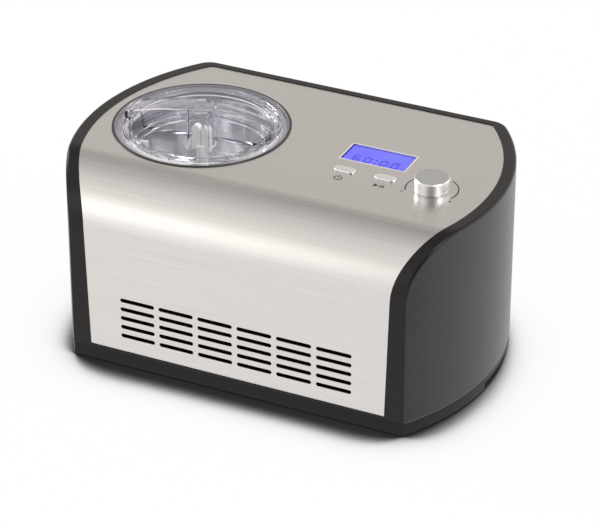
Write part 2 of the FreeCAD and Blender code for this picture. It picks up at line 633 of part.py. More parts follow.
def bridge(width, reach, low, drop):
    """Prism of the handle's side view: upright ends and an arched top, lowered by drop."""
    end = DECK + LID_BRIDGE_END - drop
    half = width / 2
    a, b, c, d = [V(x, -half, z) for x, z in ((-reach, low), (reach, low), (reach, end), (-reach, end))]
    arch = Part.Arc(c, V(0, -half, DECK + LID_CREST - drop), d).toShape()
    lines = [Part.LineSegment(p, q).toShape() for p, q in ((d, a), (a, b), (b, c))]
    return Part.Face(Part.Wire(lines + [arch])).extrude(V(0, width, 0))


def lid_dish():
    """Turned part of the lid: flange on its rib, bead, gutter, inner edge, drafted dish and the skirt in the bowl."""
    low = SEAT_Z
    top = low + LID_FLANGE_THICK
    floor_low = LID_FLOOR - LID_WALL
    tube_in = LID_TUBE_R - LID_TUBE_WALL
    skirt = BOWL_R - LID_SKIRT_GAP
    dish = BOWL_R - LID_DISH_GAP
    bead = BOWL_R + LID_BEAD_REACH
    flange = RING_IN - FIT - SNUG
    outline = [(tube_in, LID_FLOOR), (tube_in, floor_low), (skirt - LID_WALL, floor_low)]
    outline += [(skirt - LID_WALL, floor_low - LID_SKIRT), (skirt, floor_low - LID_SKIRT), (skirt, floor_low)]
    outline += [(dish - LID_DRAFT, LID_FLOOR), (dish, low + LID_REST_DROP), (flange - LID_REST, low + LID_REST_DROP)]
    outline += [(flange - LID_REST, low), (flange, low), (flange, top), (bead, top)]
    outline += [(bead, LID_EDGE_Z), (bead - LID_BEAD, LID_EDGE_Z), (bead - LID_BEAD, top + LID_STEP)]
    outline += [(BOWL_R, top + LID_STEP), (BOWL_R, LID_EDGE_Z), (BOWL_R - LID_WALL, LID_EDGE_Z)]
    outline += [(dish - LID_DRAFT - LID_WALL, LID_FLOOR)]
    solid = turned(outline, 0, 0)
    raised = [e for e in solid.Edges if e.BoundBox.ZMin > LID_EDGE_Z - SNUG and e.BoundBox.ZLength < SNUG]
    return solid.makeChamfer(LID_SOFT, raised)


def lid():
    """Clear lid: turned dish, hollow arched bridge handle open below, middle tube, thumb pad and lock mark."""
    top = SEAT_Z + LID_FLANGE_THICK
    floor_low = LID_FLOOR - LID_WALL
    crest = DECK + LID_CREST
    bead = BOWL_R + LID_BEAD_REACH
    bead_mid = bead - LID_BEAD / 2
    wall_foot = BOWL_R - LID_DISH_GAP - LID_DRAFT - LID_WALL
    wall_rise = LID_EDGE_Z - LID_FLOOR
    within = Part.makeCone(wall_foot + LID_WALL / 2, BOWL_R - LID_WALL / 2, wall_rise, V(0, 0, LID_FLOOR))
    above = rod(bead_mid, top, crest, 0, 0)
    handle = bridge(LID_BRIDGE_WIDTH, bead, LID_FLOOR, 0).common(within.fuse(above))
    hollow_low = Part.makeCone(wall_foot, BOWL_R - LID_WALL, wall_rise, V(0, 0, LID_FLOOR))
    hollow_low = hollow_low.fuse(rod(wall_foot, floor_low, LID_FLOOR, 0, 0))
    hollow_top = rod(bead_mid - LID_WALL, LID_EDGE_Z, crest, 0, 0)
    hollow = bridge(LID_BRIDGE_WIDTH - 2 * LID_WALL, bead, floor_low, LID_WALL).common(hollow_low.fuse(hollow_top))
    room = rod(LID_TUBE_R - LID_TUBE_WALL, floor_low, crest - LID_TUBE_WALL, 0, 0)
    tower = rod(LID_TUBE_R, floor_low, crest, 0, 0)
    body = fused([lid_dish(), handle]).cut(hollow)
    pad = pill(LID_PAD_LENGTH, LID_PAD_WIDTH, 0, -bead_mid + LID_BEAD, top, LID_EDGE_Z + LID_PAD_RISE)
    pad.rotate(V(0, 0, 0), UP, LID_PAD_TURN - 270)
    side = LID_MARK_SIDE / 2
    arrow = [V(-side, -side, top), V(side, -side, top), V(0, side, top)]
    mark = Part.Face(Part.makePolygon(arrow + arrow[:1])).extrude(V(0, 0, LID_BEAD_RISE + LID_PAD_RISE))
    mark.translate(V(0, -bead_mid + LID_BEAD, 0))
    mark.rotate(V(0, 0, 0), UP, LID_MARK_TURN - 270)
    dimple = rod(LID_PIP_R, crest - LID_TUBE_WALL / 2, crest, 0, 0)
    body = fused([body, tower, pad, mark]).cut(room).cut(dimple)
    body.rotate(V(0, 0, 0), UP, LID_TURN)
    body.translate(V(WELL_X, WELL_Y, 0))
    return body


def drive_shaft():
    shaft = fused([rod(SHAFT_R, SHAFT_LOW, SOCKET_LOW, 0, 0), flatted(SHAFT_R, SHAFT_FLAT, SOCKET_LOW, SHAFT_TOP)])
    shaft.translate(V(WELL_X, WELL_Y, 0))
    return shaft


def shaft_bush():
    outline = [(SHAFT_R + SNUG, PLATE_TOP + FIT), (BUSH_FLANGE_R, PLATE_TOP + FIT), (BUSH_FLANGE_R, WELL_LOW), (BUSH_R, WELL_LOW)]
    outline += [(BUSH_R, WELL_FLOOR), (SHAFT_R + SNUG, WELL_FLOOR)]
    return turned(outline, WELL_X, WELL_Y)


def motor_bracket():
    """Plate on legs that stands on the tray, carries the foam and has the gear motor hung below it."""
    plate = tube(PLATE_R, MOTOR_NOSE_R + FIT, MOTOR_TOP, PLATE_TOP, WELL_X, WELL_Y)
    legs = [rod(LEG_R, FLOOR, PLATE_TOP, x, y) for x, y in LEG_PLACES]
    drills = [rod(SCREW_SHANK_R + SNUG, MOTOR_TOP, PLATE_TOP, x, y) for x, y in MOTOR_SCREW_PLACES]
    return fused([plate] + legs).cut(Part.makeCompound(drills))


def drive_gearmotor():
    """Closed gear motor with a round nose that centres it in the plate."""
    body = rod(MOTOR_R, MOTOR_LOW, MOTOR_TOP, WELL_X, WELL_Y)
    body = body.makeFillet(BOWL_FLOOR_R / 2, [e for e in body.Edges if e.BoundBox.ZMax < MOTOR_LOW + 0.1])
    nose = rod(MOTOR_NOSE_R, MOTOR_TOP, PLATE_TOP, WELL_X, WELL_Y)
    motor = fused([body, nose])
    drills = [rod(SHAFT_R + SNUG, PLATE_TOP - MOTOR_SOCKET, PLATE_TOP, WELL_X, WELL_Y)]
    drills += [rod(SCREW_SHANK_R + SNUG, MOTOR_TOP - SCREW_LENGTH, MOTOR_TOP, x, y) for x, y in MOTOR_SCREW_PLACES]
    return motor.cut(Part.makeCompound(drills))


def compressor():
    """Welded can with domed ends on three feet."""
    low = FLOOR + GROMMET_HEIGHT
    top = low + COMP_HEIGHT
    can = rod(COMP_R, low, top, COMP_X, COMP_Y)
    can = can.makeFillet(COMP_DOME, can.Edges[0:1] + can.Edges[2:3])
    seam_z = low + COMP_HEIGHT / 2
    band = rod(COMP_R + WALL / 2, seam_z - WALL / 2, seam_z + WALL / 2, COMP_X, COMP_Y)
    feet = []
    for x, y in COMP_FEET:
        feet.append(rod(COMP_FOOT_R, low, low + COMP_FOOT, x, y))
        ray = V(x - COMP_X, y - COMP_Y, 0)
        side = V(-ray.y, ray.x, 0).normalize() * COMP_FOOT_R
        base = V(COMP_X, COMP_Y, low)
        points = [base - side, base + ray - side, base + ray + side, base + side]
        feet.append(Part.Face(Part.makePolygon(points + points[:1])).extrude(V(0, 0, COMP_FOOT)))
    body = fused([can, band] + feet)
    drills = [rod(GROMMET_PIN_R + FIT, low, low + COMP_FOOT, x, y) for x, y in COMP_FEET]
    return body.cut(Part.makeCompound(drills))


def compressor_grommets():
    rings = [tube(GROMMET_R, GROMMET_PIN_R, FLOOR, FLOOR + GROMMET_HEIGHT, x, y) for x, y in COMP_FEET]
    return Part.makeCompound(rings)


def condenser_places():
    y0 = depth(COND_DEPTH_POS)
    step_z = COND_HEIGHT / COND_TUBES
    step_y = COND_DEPTH / COND_TUBE_ROWS
    places = []
    for row in range(COND_TUBE_ROWS):
        for k in range(COND_TUBES):
            places.append((y0 + step_y * (row + 0.5), FLOOR + COND_LOW + step_z * (k + 0.5)))
    return places


def condenser_fins():
    """Upright fins side by side on the tubes; the outer two are end plates that stand on the tray."""
    y0 = depth(COND_DEPTH_POS)
    low = FLOOR + COND_LOW
    pitch = COND_WIDTH / (FINS - 1)
    fins = []
    for k in range(FINS):
        x = -COND_WIDTH / 2 + k * pitch - FIN_THICK / 2
        bottom = FLOOR if k in (0, FINS - 1) else low
        fin = block(x, x + FIN_THICK, y0, y0 + COND_DEPTH, bottom, low + COND_HEIGHT)
        holes = [Part.makeCylinder(COND_TUBE_R + SNUG, FIN_THICK, V(x, y, z), V(1, 0, 0)) for y, z in condenser_places()]
        fins.append(fin.cut(Part.makeCompound(holes)))
    return Part.makeCompound(fins)


def condenser_tubes():
    """Straight tubes through the fins, joined at alternate ends by return bends into one run."""
    places = condenser_places()
    reach = COND_WIDTH / 2 + COND_TUBE_R
    step = COND_HEIGHT / COND_TUBES
    runs = []
    for index, (y, z) in enumerate(places):
        runs.append(Part.makeCylinder(COND_TUBE_R, 2 * reach, V(-reach, y, z), V(1, 0, 0)))
        row_end = (index + 1) % COND_TUBES == 0
        if not row_end:
            end = reach if index % 2 == 0 else -reach
            bend = Part.makeTorus(step / 2, COND_TUBE_R, V(end, y, z + step / 2), V(0, 1, 0))
            half = block(min(end, 2 * end), max(end, 2 * end), y - step, y + step, z - step, z + 2 * step)
            runs.append(bend.common(half))
    per_row = 2 * COND_TUBES - 1
    return Part.makeCompound([fused(runs[k:k + per_row]) for k in range(0, len(runs), per_row)])


def fan_shroud():
    """Square frame with a round duct and four arms that carry the motor seat."""
    half = FAN_SIZE / 2
    y0 = depth(FAN_DEPTH_POS)
    z = FLOOR + half
    frame = block(FAN_X - half, FAN_X + half, y0, y0 + FAN_DEPTH, FLOOR, FLOOR + FAN_SIZE)
    frame = frame.makeFillet(FAN_CORNER_R, [e for e in frame.Edges if e.BoundBox.YLength > FAN_DEPTH - 1])
    frame = frame.cut(Part.makeCylinder(FAN_HOLE_R, FAN_DEPTH, V(FAN_X, y0, z), V(0, 1, 0)))
    y1 = y0 + FAN_DEPTH - FAN_ARM_THICK
    seat = Part.makeCylinder(FAN_HUB_R, FAN_ARM_THICK, V(FAN_X, y1, z), V(0, 1, 0))
    r = (FAN_HOLE_R + half) / 2
    arms = [block(FAN_X - r, FAN_X + r, y1, y1 + FAN_ARM_THICK, z - FAN_ARM / 2, z + FAN_ARM / 2)]
    arms.append(block(FAN_X - FAN_ARM / 2, FAN_X + FAN_ARM / 2, y1, y1 + FAN_ARM_THICK, z - r, z + r))
    pin = Part.makeCylinder(FAN_SHAFT_R, FAN_HUB_DEPTH / 2, V(FAN_X, y1 - FAN_HUB_DEPTH / 2, z), V(0, 1, 0))
    return fused([frame, seat, pin] + arms)


def cooling_fan():
    """Hub with pitched blades that turns on the shroud's pin."""
    y1 = depth(FAN_DEPTH_POS) + FAN_DEPTH - FAN_ARM_THICK - FIT
    z = FLOOR + FAN_SIZE / 2
    hub = Part.makeCylinder(FAN_HUB_R, FAN_HUB_DEPTH, V(0, 0, 0), V(0, 1, 0))
    hub = hub.makeFillet(FAN_ARM_THICK, [e for e in hub.Edges if e.BoundBox.YMax < 0.1])
    blades = []
    chord = (FAN_HUB_DEPTH - FAN_ARM_THICK) / math.sin(math.radians(FAN_BLADE_PITCH)) - FAN_BLADE_THICK
    for k in range(FAN_BLADES):
        blade = block(-chord / 2, chord / 2, -FAN_BLADE_THICK / 2, FAN_BLADE_THICK / 2, FAN_HUB_R / 2, FAN_BLADE_R)
        blade.rotate(V(0, 0, 0), UP, FAN_BLADE_PITCH)
        blade.translate(V(0, (FAN_HUB_DEPTH + FAN_ARM_THICK) / 2, 0))
        blade.rotate(V(0, 0, 0), V(0, 1, 0), 360.0 * k / FAN_BLADES)
        blades.append(blade)
    fan = hub.multiFuse(blades)
    bore = Part.makeCylinder(FAN_SHAFT_R + SNUG, FAN_HUB_DEPTH / 2 + FIT, V(0, FAN_HUB_DEPTH / 2 - FIT, 0), V(0, 1, 0))
    fan = fan.cut(bore)
    fan.translate(V(FAN_X, y1 - FAN_HUB_DEPTH, z))
    return fan


def supply_board():
    """Circuit board on posts with a transformer and two capacitors."""
    z = FLOOR + SUPPLY_STAND
    x0 = SUPPLY_X - SUPPLY_WIDTH / 2
    y0 = SUPPLY_Y - SUPPLY_LENGTH / 2
    board = block(x0, x0 + SUPPLY_WIDTH, y0, y0 + SUPPLY_LENGTH, z, z + BOARD)
    top = z + BOARD
    core = block(SUPPLY_X - SUPPLY_CORE / 2, SUPPLY_X + SUPPLY_CORE / 2, SUPPLY_Y, SUPPLY_Y + SUPPLY_CORE, top, top + SUPPLY_CORE)
    r = SUPPLY_CORE / 4
    cans = [rod(r, top, top + SUPPLY_CORE, SUPPLY_X + s * SUPPLY_CORE / 2, SUPPLY_Y - SUPPLY_CORE / 2) for s in (-1, 1)]
    return fused([board, core] + cans)


def control_carrier():
    """Moulded plate bonded under the steel, with openings for the controls and posts for the board."""
    y0 = depth(CARRIER_FRONT)
    y1 = depth(CARRIER_BACK)
    plate = block(CARRIER_LEFT, CARRIER_RIGHT, y0, y1, CARRIER_LOW, DECK_UNDER)
    plate = plate.makeFillet(CARRIER_CORNER_R, [e for e in plate.Edges if e.BoundBox.ZLength > CARRIER_THICK / 2])
    half_w = DISPLAY_WIDTH / 2 + DISPLAY_GAP
    half_l = DISPLAY_LENGTH / 2 + DISPLAY_GAP
    cuts = [block(DISPLAY_X - half_w, DISPLAY_X + half_w, DISPLAY_Y - half_l, DISPLAY_Y + half_l, CARRIER_LOW, DECK_UNDER)]
    for x, y in BUTTONS.values():
        cuts.append(pill(BUTTON_LENGTH + 2 * FIT, BUTTON_WIDTH + 2 * FIT, x, y, CARRIER_LOW, DECK_UNDER))
    cuts.append(rod(ENCODER_NOSE_R + SNUG, CARRIER_LOW, DECK_UNDER, KNOB_X, KNOB_Y))
    posts = [rod(CARRIER_POST_R, BOARD_TOP, CARRIER_LOW, x, y) for x, y in BOARD_POSTS]
    return fused([plate.cut(Part.makeCompound(cuts))] + posts)


def control_board():
    return block(CARRIER_LEFT, CARRIER_RIGHT, depth(CARRIER_FRONT), depth(CARRIER_BACK), BOARD_TOP - BOARD, BOARD_TOP)


def display_module():
    """Display block that stands on the board; its face lies a little below the steel."""
    top = DECK - DISPLAY_DROP
    half_w = DISPLAY_WIDTH / 2 + DISPLAY_GAP / 2
    half_l = DISPLAY_LENGTH / 2 + DISPLAY_GAP / 2
    return block(DISPLAY_X - half_w, DISPLAY_X + half_w, DISPLAY_Y - half_l, DISPLAY_Y + half_l, BOARD_TOP, top)


def button(x, y):
    """Round-ended cap with a flange that holds it under the carrier."""
    top = DECK + BUTTON_PROUD
    flange_top = CARRIER_LOW - FIT
    cap = pill(BUTTON_LENGTH, BUTTON_WIDTH, x, y, flange_top, top)
    cap = cap.makeFillet(BUTTON_EDGE_R, [e for e in cap.Edges if e.BoundBox.ZMin > top - 0.1])
    side = 2 * BUTTON_FLANGE
    flange = pill(BUTTON_LENGTH + side, BUTTON_WIDTH + side, x, y, flange_top - BUTTON_FLANGE_THICK, flange_top)
    return fused([cap, flange])


def button_switches():
    """Push switches on the board below the caps, with a stem that ends just under the pressed cap."""
    stem_top = CARRIER_LOW - FIT - BUTTON_FLANGE_THICK - BUTTON_TRAVEL - FIT
    h = SWITCH_SIDE / 2
    switches = []
    for x, y in BUTTONS.values():
        body = block(x - h, x + h, y - h, y + h, BOARD_TOP, BOARD_TOP + SWITCH_HEIGHT)
        switches.append(fused([body, rod(h / 2, BOARD_TOP + SWITCH_HEIGHT, stem_top, x, y)]))
    return Part.makeCompound(switches)


def rotary_encoder():
    """Encoder on the board with a round nose up through carrier and steel."""
    h = ENCODER_SIDE / 2
    body = block(KNOB_X - h, KNOB_X + h, KNOB_Y - h, KNOB_Y + h, BOARD_TOP, BOARD_TOP + ENCODER_HEIGHT)
    nose = rod(ENCODER_NOSE_R, BOARD_TOP + ENCODER_HEIGHT, DECK, KNOB_X, KNOB_Y)
    return fused([body, nose]).cut(rod(ENCODER_SHAFT_R + SNUG, BOARD_TOP + BOARD, DECK, KNOB_X, KNOB_Y))


def control_knob():
    """Turned knob: bevelled top edge, fine groove above a short skirt, stem down into the encoder."""
    low = DECK + FIT
    top = low + KNOB_HEIGHT
    groove = low + KNOB_SKIRT
    outline = [(0, BOARD_TOP + BOARD + FIT), (ENCODER_SHAFT_R, BOARD_TOP + BOARD + FIT), (ENCODER_SHAFT_R, low), (KNOB_R, low)]
    outline += [(KNOB_R, groove), (KNOB_R - KNOB_GROOVE, groove), (KNOB_R - KNOB_GROOVE, groove + KNOB_GROOVE)]
    outline += [(KNOB_R, groove + KNOB_GROOVE), (KNOB_R, top - KNOB_EDGE), (KNOB_R - KNOB_EDGE, top), (0, top)]
    return turned(outline, KNOB_X, KNOB_Y)


def rubber_feet():
    feet = []
    for x, y in FEET:
        stem = rod(FOOT_STEM_R - SNUG, FOOT_HEIGHT, FLOOR, x, y)
        feet.append(fused([rod(FOOT_R, 0, FOOT_HEIGHT, x, y), stem]))
    return Part.makeCompound(feet)


def base_screws():
    screws = []
    low = FOOT_HEIGHT
    for x, y in SCREWS:
        head = rod(SCREW_R, low, low + SCREW_HEAD, x, y)
        shank = rod(SCREW_SHANK_R, low + SCREW_HEAD, BASE_HEIGHT + SCREW_LENGTH - WALL - FIT, x, y)
        screws.append(fused([head, shank]))
    return Part.makeCompound(screws)


def motor_screws():
    screws = []
    for x, y in MOTOR_SCREW_PLACES:
        head = rod(SCREW_R, PLATE_TOP, PLATE_TOP + SCREW_HEAD, x, y)
        screws.append(fused([head, rod(SCREW_SHANK_R, MOTOR_TOP - SCREW_LENGTH + FIT, PLATE_TOP, x, y)]))
    return Part.makeCompound(screws)


def cable_gland():
    """Strain relief bush in the back wall: flange outside, neck through the wall, tapered tail inside."""
    outline = [(GLAND_HOLE_R, 0), (GLAND_FLANGE_R, 0), (GLAND_FLANGE_R, -GLAND_FLANGE), (GLAND_R - SNUG, -GLAND_FLANGE)]
    outline += [(GLAND_R - SNUG, -WALL), (GLAND_HOLE_R + GLAND_FLANGE, -WALL - GLAND_TAIL)]
    outline += [(GLAND_HOLE_R, -WALL - GLAND_TAIL)]
    gland = turned(outline, 0, 0)
    gland.rotate(V(0, 0, 0), V(1, 0, 0), -90)
    gland.translate(V(GLAND_X, BACK, GLAND_Z))
    return gland


for make in (base_tray, housing_shell, top_front_panel, well_ring, freezing_well, evaporator_sleeve, insulation_jacket,
             mixing_bowl, mixing_paddle, lid, drive_shaft, shaft_bush, motor_bracket, drive_gearmotor, compressor,
             compressor_grommets, condenser_fins, condenser_tubes, fan_shroud, cooling_fan, supply_board, control_carrier,
             control_board, display_module, button_switches, rotary_encoder, control_knob, rubber_feet, base_screws,
             motor_screws, cable_gland):
    nodes[make.__name__] = make()
for name, (bx, by) in BUTTONS.items():
    nodes[name] = button(bx, by)

os.makedirs("parts", exist_ok=True)
for name, shape in nodes.items():
    shape.exportStep("parts/" + name + ".step")
    box = shape.BoundBox
    print("%-20s solids %2d valid %s volume %9.1f z %6.1f..%6.1f" % (
        name, len(shape.Solids), shape.isValid(), shape.Volume, box.ZMin, box.ZMax))
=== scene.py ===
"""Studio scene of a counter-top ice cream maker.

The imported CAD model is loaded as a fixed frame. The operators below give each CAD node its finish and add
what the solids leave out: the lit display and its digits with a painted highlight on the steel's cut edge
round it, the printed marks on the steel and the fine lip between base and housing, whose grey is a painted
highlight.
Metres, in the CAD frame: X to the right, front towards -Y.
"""

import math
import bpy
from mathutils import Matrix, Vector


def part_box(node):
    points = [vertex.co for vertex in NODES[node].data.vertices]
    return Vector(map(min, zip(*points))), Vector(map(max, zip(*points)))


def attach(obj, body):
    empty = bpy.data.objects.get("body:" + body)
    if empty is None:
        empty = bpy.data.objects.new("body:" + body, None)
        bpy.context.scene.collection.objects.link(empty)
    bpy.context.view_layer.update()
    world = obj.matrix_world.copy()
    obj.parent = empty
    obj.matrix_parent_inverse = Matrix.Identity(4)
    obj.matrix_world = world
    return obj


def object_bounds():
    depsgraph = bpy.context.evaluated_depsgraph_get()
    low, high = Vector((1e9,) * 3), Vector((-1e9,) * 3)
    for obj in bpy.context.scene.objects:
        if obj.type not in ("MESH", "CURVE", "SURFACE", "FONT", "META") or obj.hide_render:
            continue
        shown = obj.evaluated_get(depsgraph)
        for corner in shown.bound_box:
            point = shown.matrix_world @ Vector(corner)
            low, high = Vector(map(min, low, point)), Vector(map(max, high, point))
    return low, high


bl_info = {
    "name": "Ice cream maker scene",
    "version": (1, 0, 0),
    "blender": (4, 5, 0),
    "location": "3D View > Sidebar > Ice Cream Maker",
    "description": "Finishes, display, printed marks and studio for the ice cream maker's CAD frame",
    "category": "Object",
}

import bpy
import numpy as np
from bpy.props import FloatProperty, FloatVectorProperty, PointerProperty, StringProperty
from mathutils import Vector

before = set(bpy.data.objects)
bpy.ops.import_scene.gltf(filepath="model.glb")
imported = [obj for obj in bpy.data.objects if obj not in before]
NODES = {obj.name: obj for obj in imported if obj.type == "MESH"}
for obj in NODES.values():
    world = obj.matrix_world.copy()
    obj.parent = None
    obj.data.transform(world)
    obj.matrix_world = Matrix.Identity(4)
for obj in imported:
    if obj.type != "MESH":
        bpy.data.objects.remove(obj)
CAD_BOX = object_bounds()

MM = 0.001
_, STEEL_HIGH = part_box("top_front_panel")
KNOB_LOW, KNOB_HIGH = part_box("control_knob")
LCD_LOW, LCD_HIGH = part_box("display_module")
POWER_LOW, POWER_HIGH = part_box("power_button")
START_LOW, START_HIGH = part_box("start_button")
BOWL_LOW, BOWL_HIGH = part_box("mixing_bowl")
_, RING_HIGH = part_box("well_ring")
HOUSING_LOW, HOUSING_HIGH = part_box("housing_shell")
DECK = STEEL_HIGH.z
KNOB_AXIS = (KNOB_LOW + KNOB_HIGH) / 2
BOWL_AXIS = (BOWL_LOW + BOWL_HIGH) / 2
# The lathe rings' centres lie this far below the pieces' middles, so that no upright wall runs along a ring
KNOB_RING_DROP, BOWL_RING_DROP = 0.03, 0.1
KNOB_RINGS = KNOB_AXIS - Vector((0.0, 0.0, KNOB_RING_DROP))
BOWL_RINGS = BOWL_AXIS - Vector((0.0, 0.0, BOWL_RING_DROP))
PRINT_LIFT = 0.05 * MM

# Parts of a noise over which a colour and a roughness change
COLOUR_SPAN = (0.32, 0.68)
ROUGH_SPAN = (0.3, 0.7)
# Size of the X part of a normal where the sides' painted light starts and where it is full
PAINTED_SIDE_SPAN = (0.6, 1.0)
# The wave texture goes on by this many radians in one unit
WAVE_TURN = 20.0
RING_WOBBLE = 0.6
CLOUD_SIZE = 0.03
# Brightness of the darker tone in each kind of finish
MOULD_DIM, METAL_DIM, LATHE_DIM, SEGMENT_DIM, PRINT_DIM = 0.86, 0.9, 0.94, 0.9, 0.8

# Which strokes of the seven each digit lights
SEGMENTS = {"0": "abcdef", "1": "bc", "2": "abdeg", "3": "abcdg", "4": "bcfg", "5": "acdfg", "6": "acdefg",
            "7": "abc", "8": "abcdefg", "9": "abcdfg"}
# Heights of the colon's two dots, as shares of a digit's height
COLON_RISES = (0.2, 0.75)
ARC_POINTS = 48
# Start and end of the printed arcs and places of the two signs, in degrees about their centres
POWER_ARC = (125, 415)
DIAL_LEFT, DIAL_RIGHT = (150, 208), (62, -24)
MINUS_TURN, PLUS_TURN = 212, -32
# Start mark, in shares of half its height: its arrow's back and tip, half widths there, and its two bars
ARROW_BACK, ARROW_TIP = -2.05, -0.05
ARROW_HALVES = (1.1, 0.01)
START_BARS = (0.7, 1.62)
# Dial marks, in shares of a line's width: the arcs at both ends, the signs' strokes and half their length
LEFT_SWELL, RIGHT_SWELL = (0.8, 1.3), (0.9, 1.3)
MINUS_WIDTH, PLUS_WIDTH = 0.9, 0.6
SIGN_ARM = 1.5

SENSOR = 36.0
BOUNCES, GLOSSY_BOUNCES = 32, 12
# Where the room's light changes, from 0 opposite its lit front to 1 at it
BACK_END, GAP_START, GAP_END, BETWEEN, FRONT_START = 0.36, 0.50, 0.57, 0.80, 0.95
# Cosines to a patch of the room where its change of light starts and where it is full
CAMERA_SPAN, RIGHT_SPAN = (0.82, 0.965), (0.35, 0.85)
LEFT_SPAN, BACK_LEFT_SPAN = (0.70, 0.93), (0.92, 0.985)
SHADOW_SAMPLES = 64
# Brightness of the floor by how open it lies
SHADOW_LEVELS = ((0.44, 0.008), (0.465, 0.035), (0.50, 0.105), (0.54, 0.23), (0.57, 0.41), (0.60, 0.63),
                 (0.645, 0.81), (0.68, 0.885), (0.72, 0.935), (0.82, 0.975), (1.0, 1.0))


def length(name, default, description):
    """Property for a size in metres."""
    return FloatProperty(name=name, description=description, default=default, unit="LENGTH", precision=5)


def angle(name, degrees, description):
    """Property for an angle, given in degrees."""
    return FloatProperty(name=name, description=description, default=math.radians(degrees), unit="ROTATION")


def share(name, default, description):
    """Property for a plain factor."""
    return FloatProperty(name=name, description=description, default=default, min=0.0, precision=4)


def power(name, default, description):
    """Property for the power of a lamp."""
    return FloatProperty(name=name, description=description, default=default, unit="POWER")


def colour(name, default, description):
    """Property for a linear colour."""
    return FloatVectorProperty(name=name, description=description, default=default, size=3, subtype="COLOR",
                               min=0.0, max=1.0)


def place(name, default, description):
    """Property for a place in the CAD frame."""
    return FloatVectorProperty(name=name, description=description, default=default, size=3,
                               subtype="TRANSLATION")


def way(name, default, description):
    """Property for a direction in the CAD frame, of any length."""
    return FloatVectorProperty(name=name, description=description, default=default, size=3, subtype="XYZ")


class StageSettings(bpy.types.PropertyGroup):
    """Camera, lamps, room and floor."""

    camera_place: place("Camera", (1.0668, -2.2678, 1.5290), "Place of the camera")
    yaw: angle("Yaw", 25.124, "Turn of the view about the upright axis")
    pitch: angle("Pitch", 30.148, "Angle of the view below the horizon")
    lens: FloatProperty(name="Lens", description="Focal length on a 36 mm sensor", default=180.87,
                        unit="CAMERA")
    floor_side: length("Floor", 14.0, "Side of the floor")
    floor_colour: colour("Floor colour", (0.95, 0.95, 0.95), "Pale floor")
    floor_lift: share("Floor lift", 0.97, "Part of the floor's look that is plain white")
    shadow_lean: share("Shadow lean", 0.4, "How far the shadow at the foot falls to the front")
    shadow_drift: share("Shadow drift", 0.08, "How far the shadow at the foot falls to the right")
    contact: length("Contact shadow", 0.075, "Reach of the shadow at the foot of the object")
    key_place: place("Key place", (-2.0, -2.9, 1.2), "Large lamp at the front left")
    key_power: power("Key", 11.0, "Power of the large lamp")
    key_side: length("Key side", 2.0, "Side of the large lamp")
    right_place: place("Right place", (2.0, -0.6, 2.2), "Smaller lamp at the right")
    left_place: place("Left place", (-2.4, 0.4, 1.7), "Smaller lamp at the left")
    small_power: power("Small lamps", 26.0, "Power of each smaller lamp")
    small_side: length("Small side", 1.2, "Side of a smaller lamp")
    front_way: way("Front way", (-0.25, -0.75, 0.6), "From the object to the lit front of the room")
    front_light: colour("Front", (0.95, 0.93, 0.915), "Room in front and above on the left")
    gap_light: colour("Gap", (0.33, 0.318, 0.307), "Room between the lit front and the back wall")
    back_light: colour("Back", (0.84, 0.812, 0.776), "Back wall of the room")
    camera_gap: share("Camera gap", 0.15, "How much light comes from behind the camera")
    right_way: way("Right way", (0.9, 0.15, 0.45), "From the object to the right part of the room")
    right_light: share("Right", 1.8, "How much more light comes from the right")
    left_way: way("Left way", (-0.96, 0.0, 0.28), "From the object to the left part of the room")
    left_light: share("Left", 1.1, "How much more light comes from the left")
    back_left_way: way("Back left way", (-0.60, 0.65, 0.45), "From the object to the back wall's left half")
    back_left: share("Back left", 1.16, "How much more light comes from the back wall's left half")


class SteelSettings(bpy.types.PropertyGroup):
    """Brushed sheet of front and top."""

    light: colour("Light grain", (0.74, 0.715, 0.685), "Colour of the bright grain")
    dark: colour("Dark grain", (0.67, 0.645, 0.62), "Colour of the dark grain")
    smooth: share("Smooth", 0.26, "Roughness of the bright grain")
    rough: share("Rough", 0.34, "Roughness of the dark grain")
    spread: share("Spread", 0.7, "Stretch of reflections across the grain")
    grain_long: length("Grain length", 0.16, "Length of a brush stroke")
    grain_wide: length("Grain width", 0.0009, "Width of a brush stroke")
    grain_deep: length("Grain depth", 0.004 * MM, "Depth of a brush stroke")


class MetalSettings(bpy.types.PropertyGroup):
    """Metals other than the brushed sheet."""

    bowl: colour("Bowl", (0.82, 0.82, 0.83), "Polished steel of the bowl")
    bowl_pitch: length("Bowl rings", 1.2 * MM, "From one lathe ring on the bowl to the next")
    # painted reflection: the top's darker tone and the wall's brighter tone stand in for the dark room
    # overhead and the bright room round about that they mirror
    knob_face: colour("Knob face", (0.53, 0.53, 0.53), "Satin top of the knob")
    knob_wall_painted_light: colour("Knob wall", (0.82, 0.82, 0.825), "Brighter wall of the knob")
    knob_pitch: length("Knob rings", 0.35 * MM, "From one lathe ring on the knob to the next")
    face_edge: length("Face edge", 1.4 * MM, "From the knob's wall to where its top's tone ends")
    wall_edge: length("Wall edge", 0.8 * MM, "From the knob's wall to where its own tone starts")
    cap: colour("Buttons", (0.90, 0.90, 0.90), "Silver of the two buttons")
    well: colour("Well", (0.75, 0.75, 0.76), "Aluminium of the cold well")
    shaft: colour("Shaft", (0.68, 0.68, 0.69), "Turned steel of the drive shaft")
    fins: colour("Fins", (0.70, 0.70, 0.71), "Aluminium of the evaporator sleeve")
    zinc: colour("Zinc", (0.62, 0.62, 0.60), "Zinc on screws, bracket, motor and encoder")


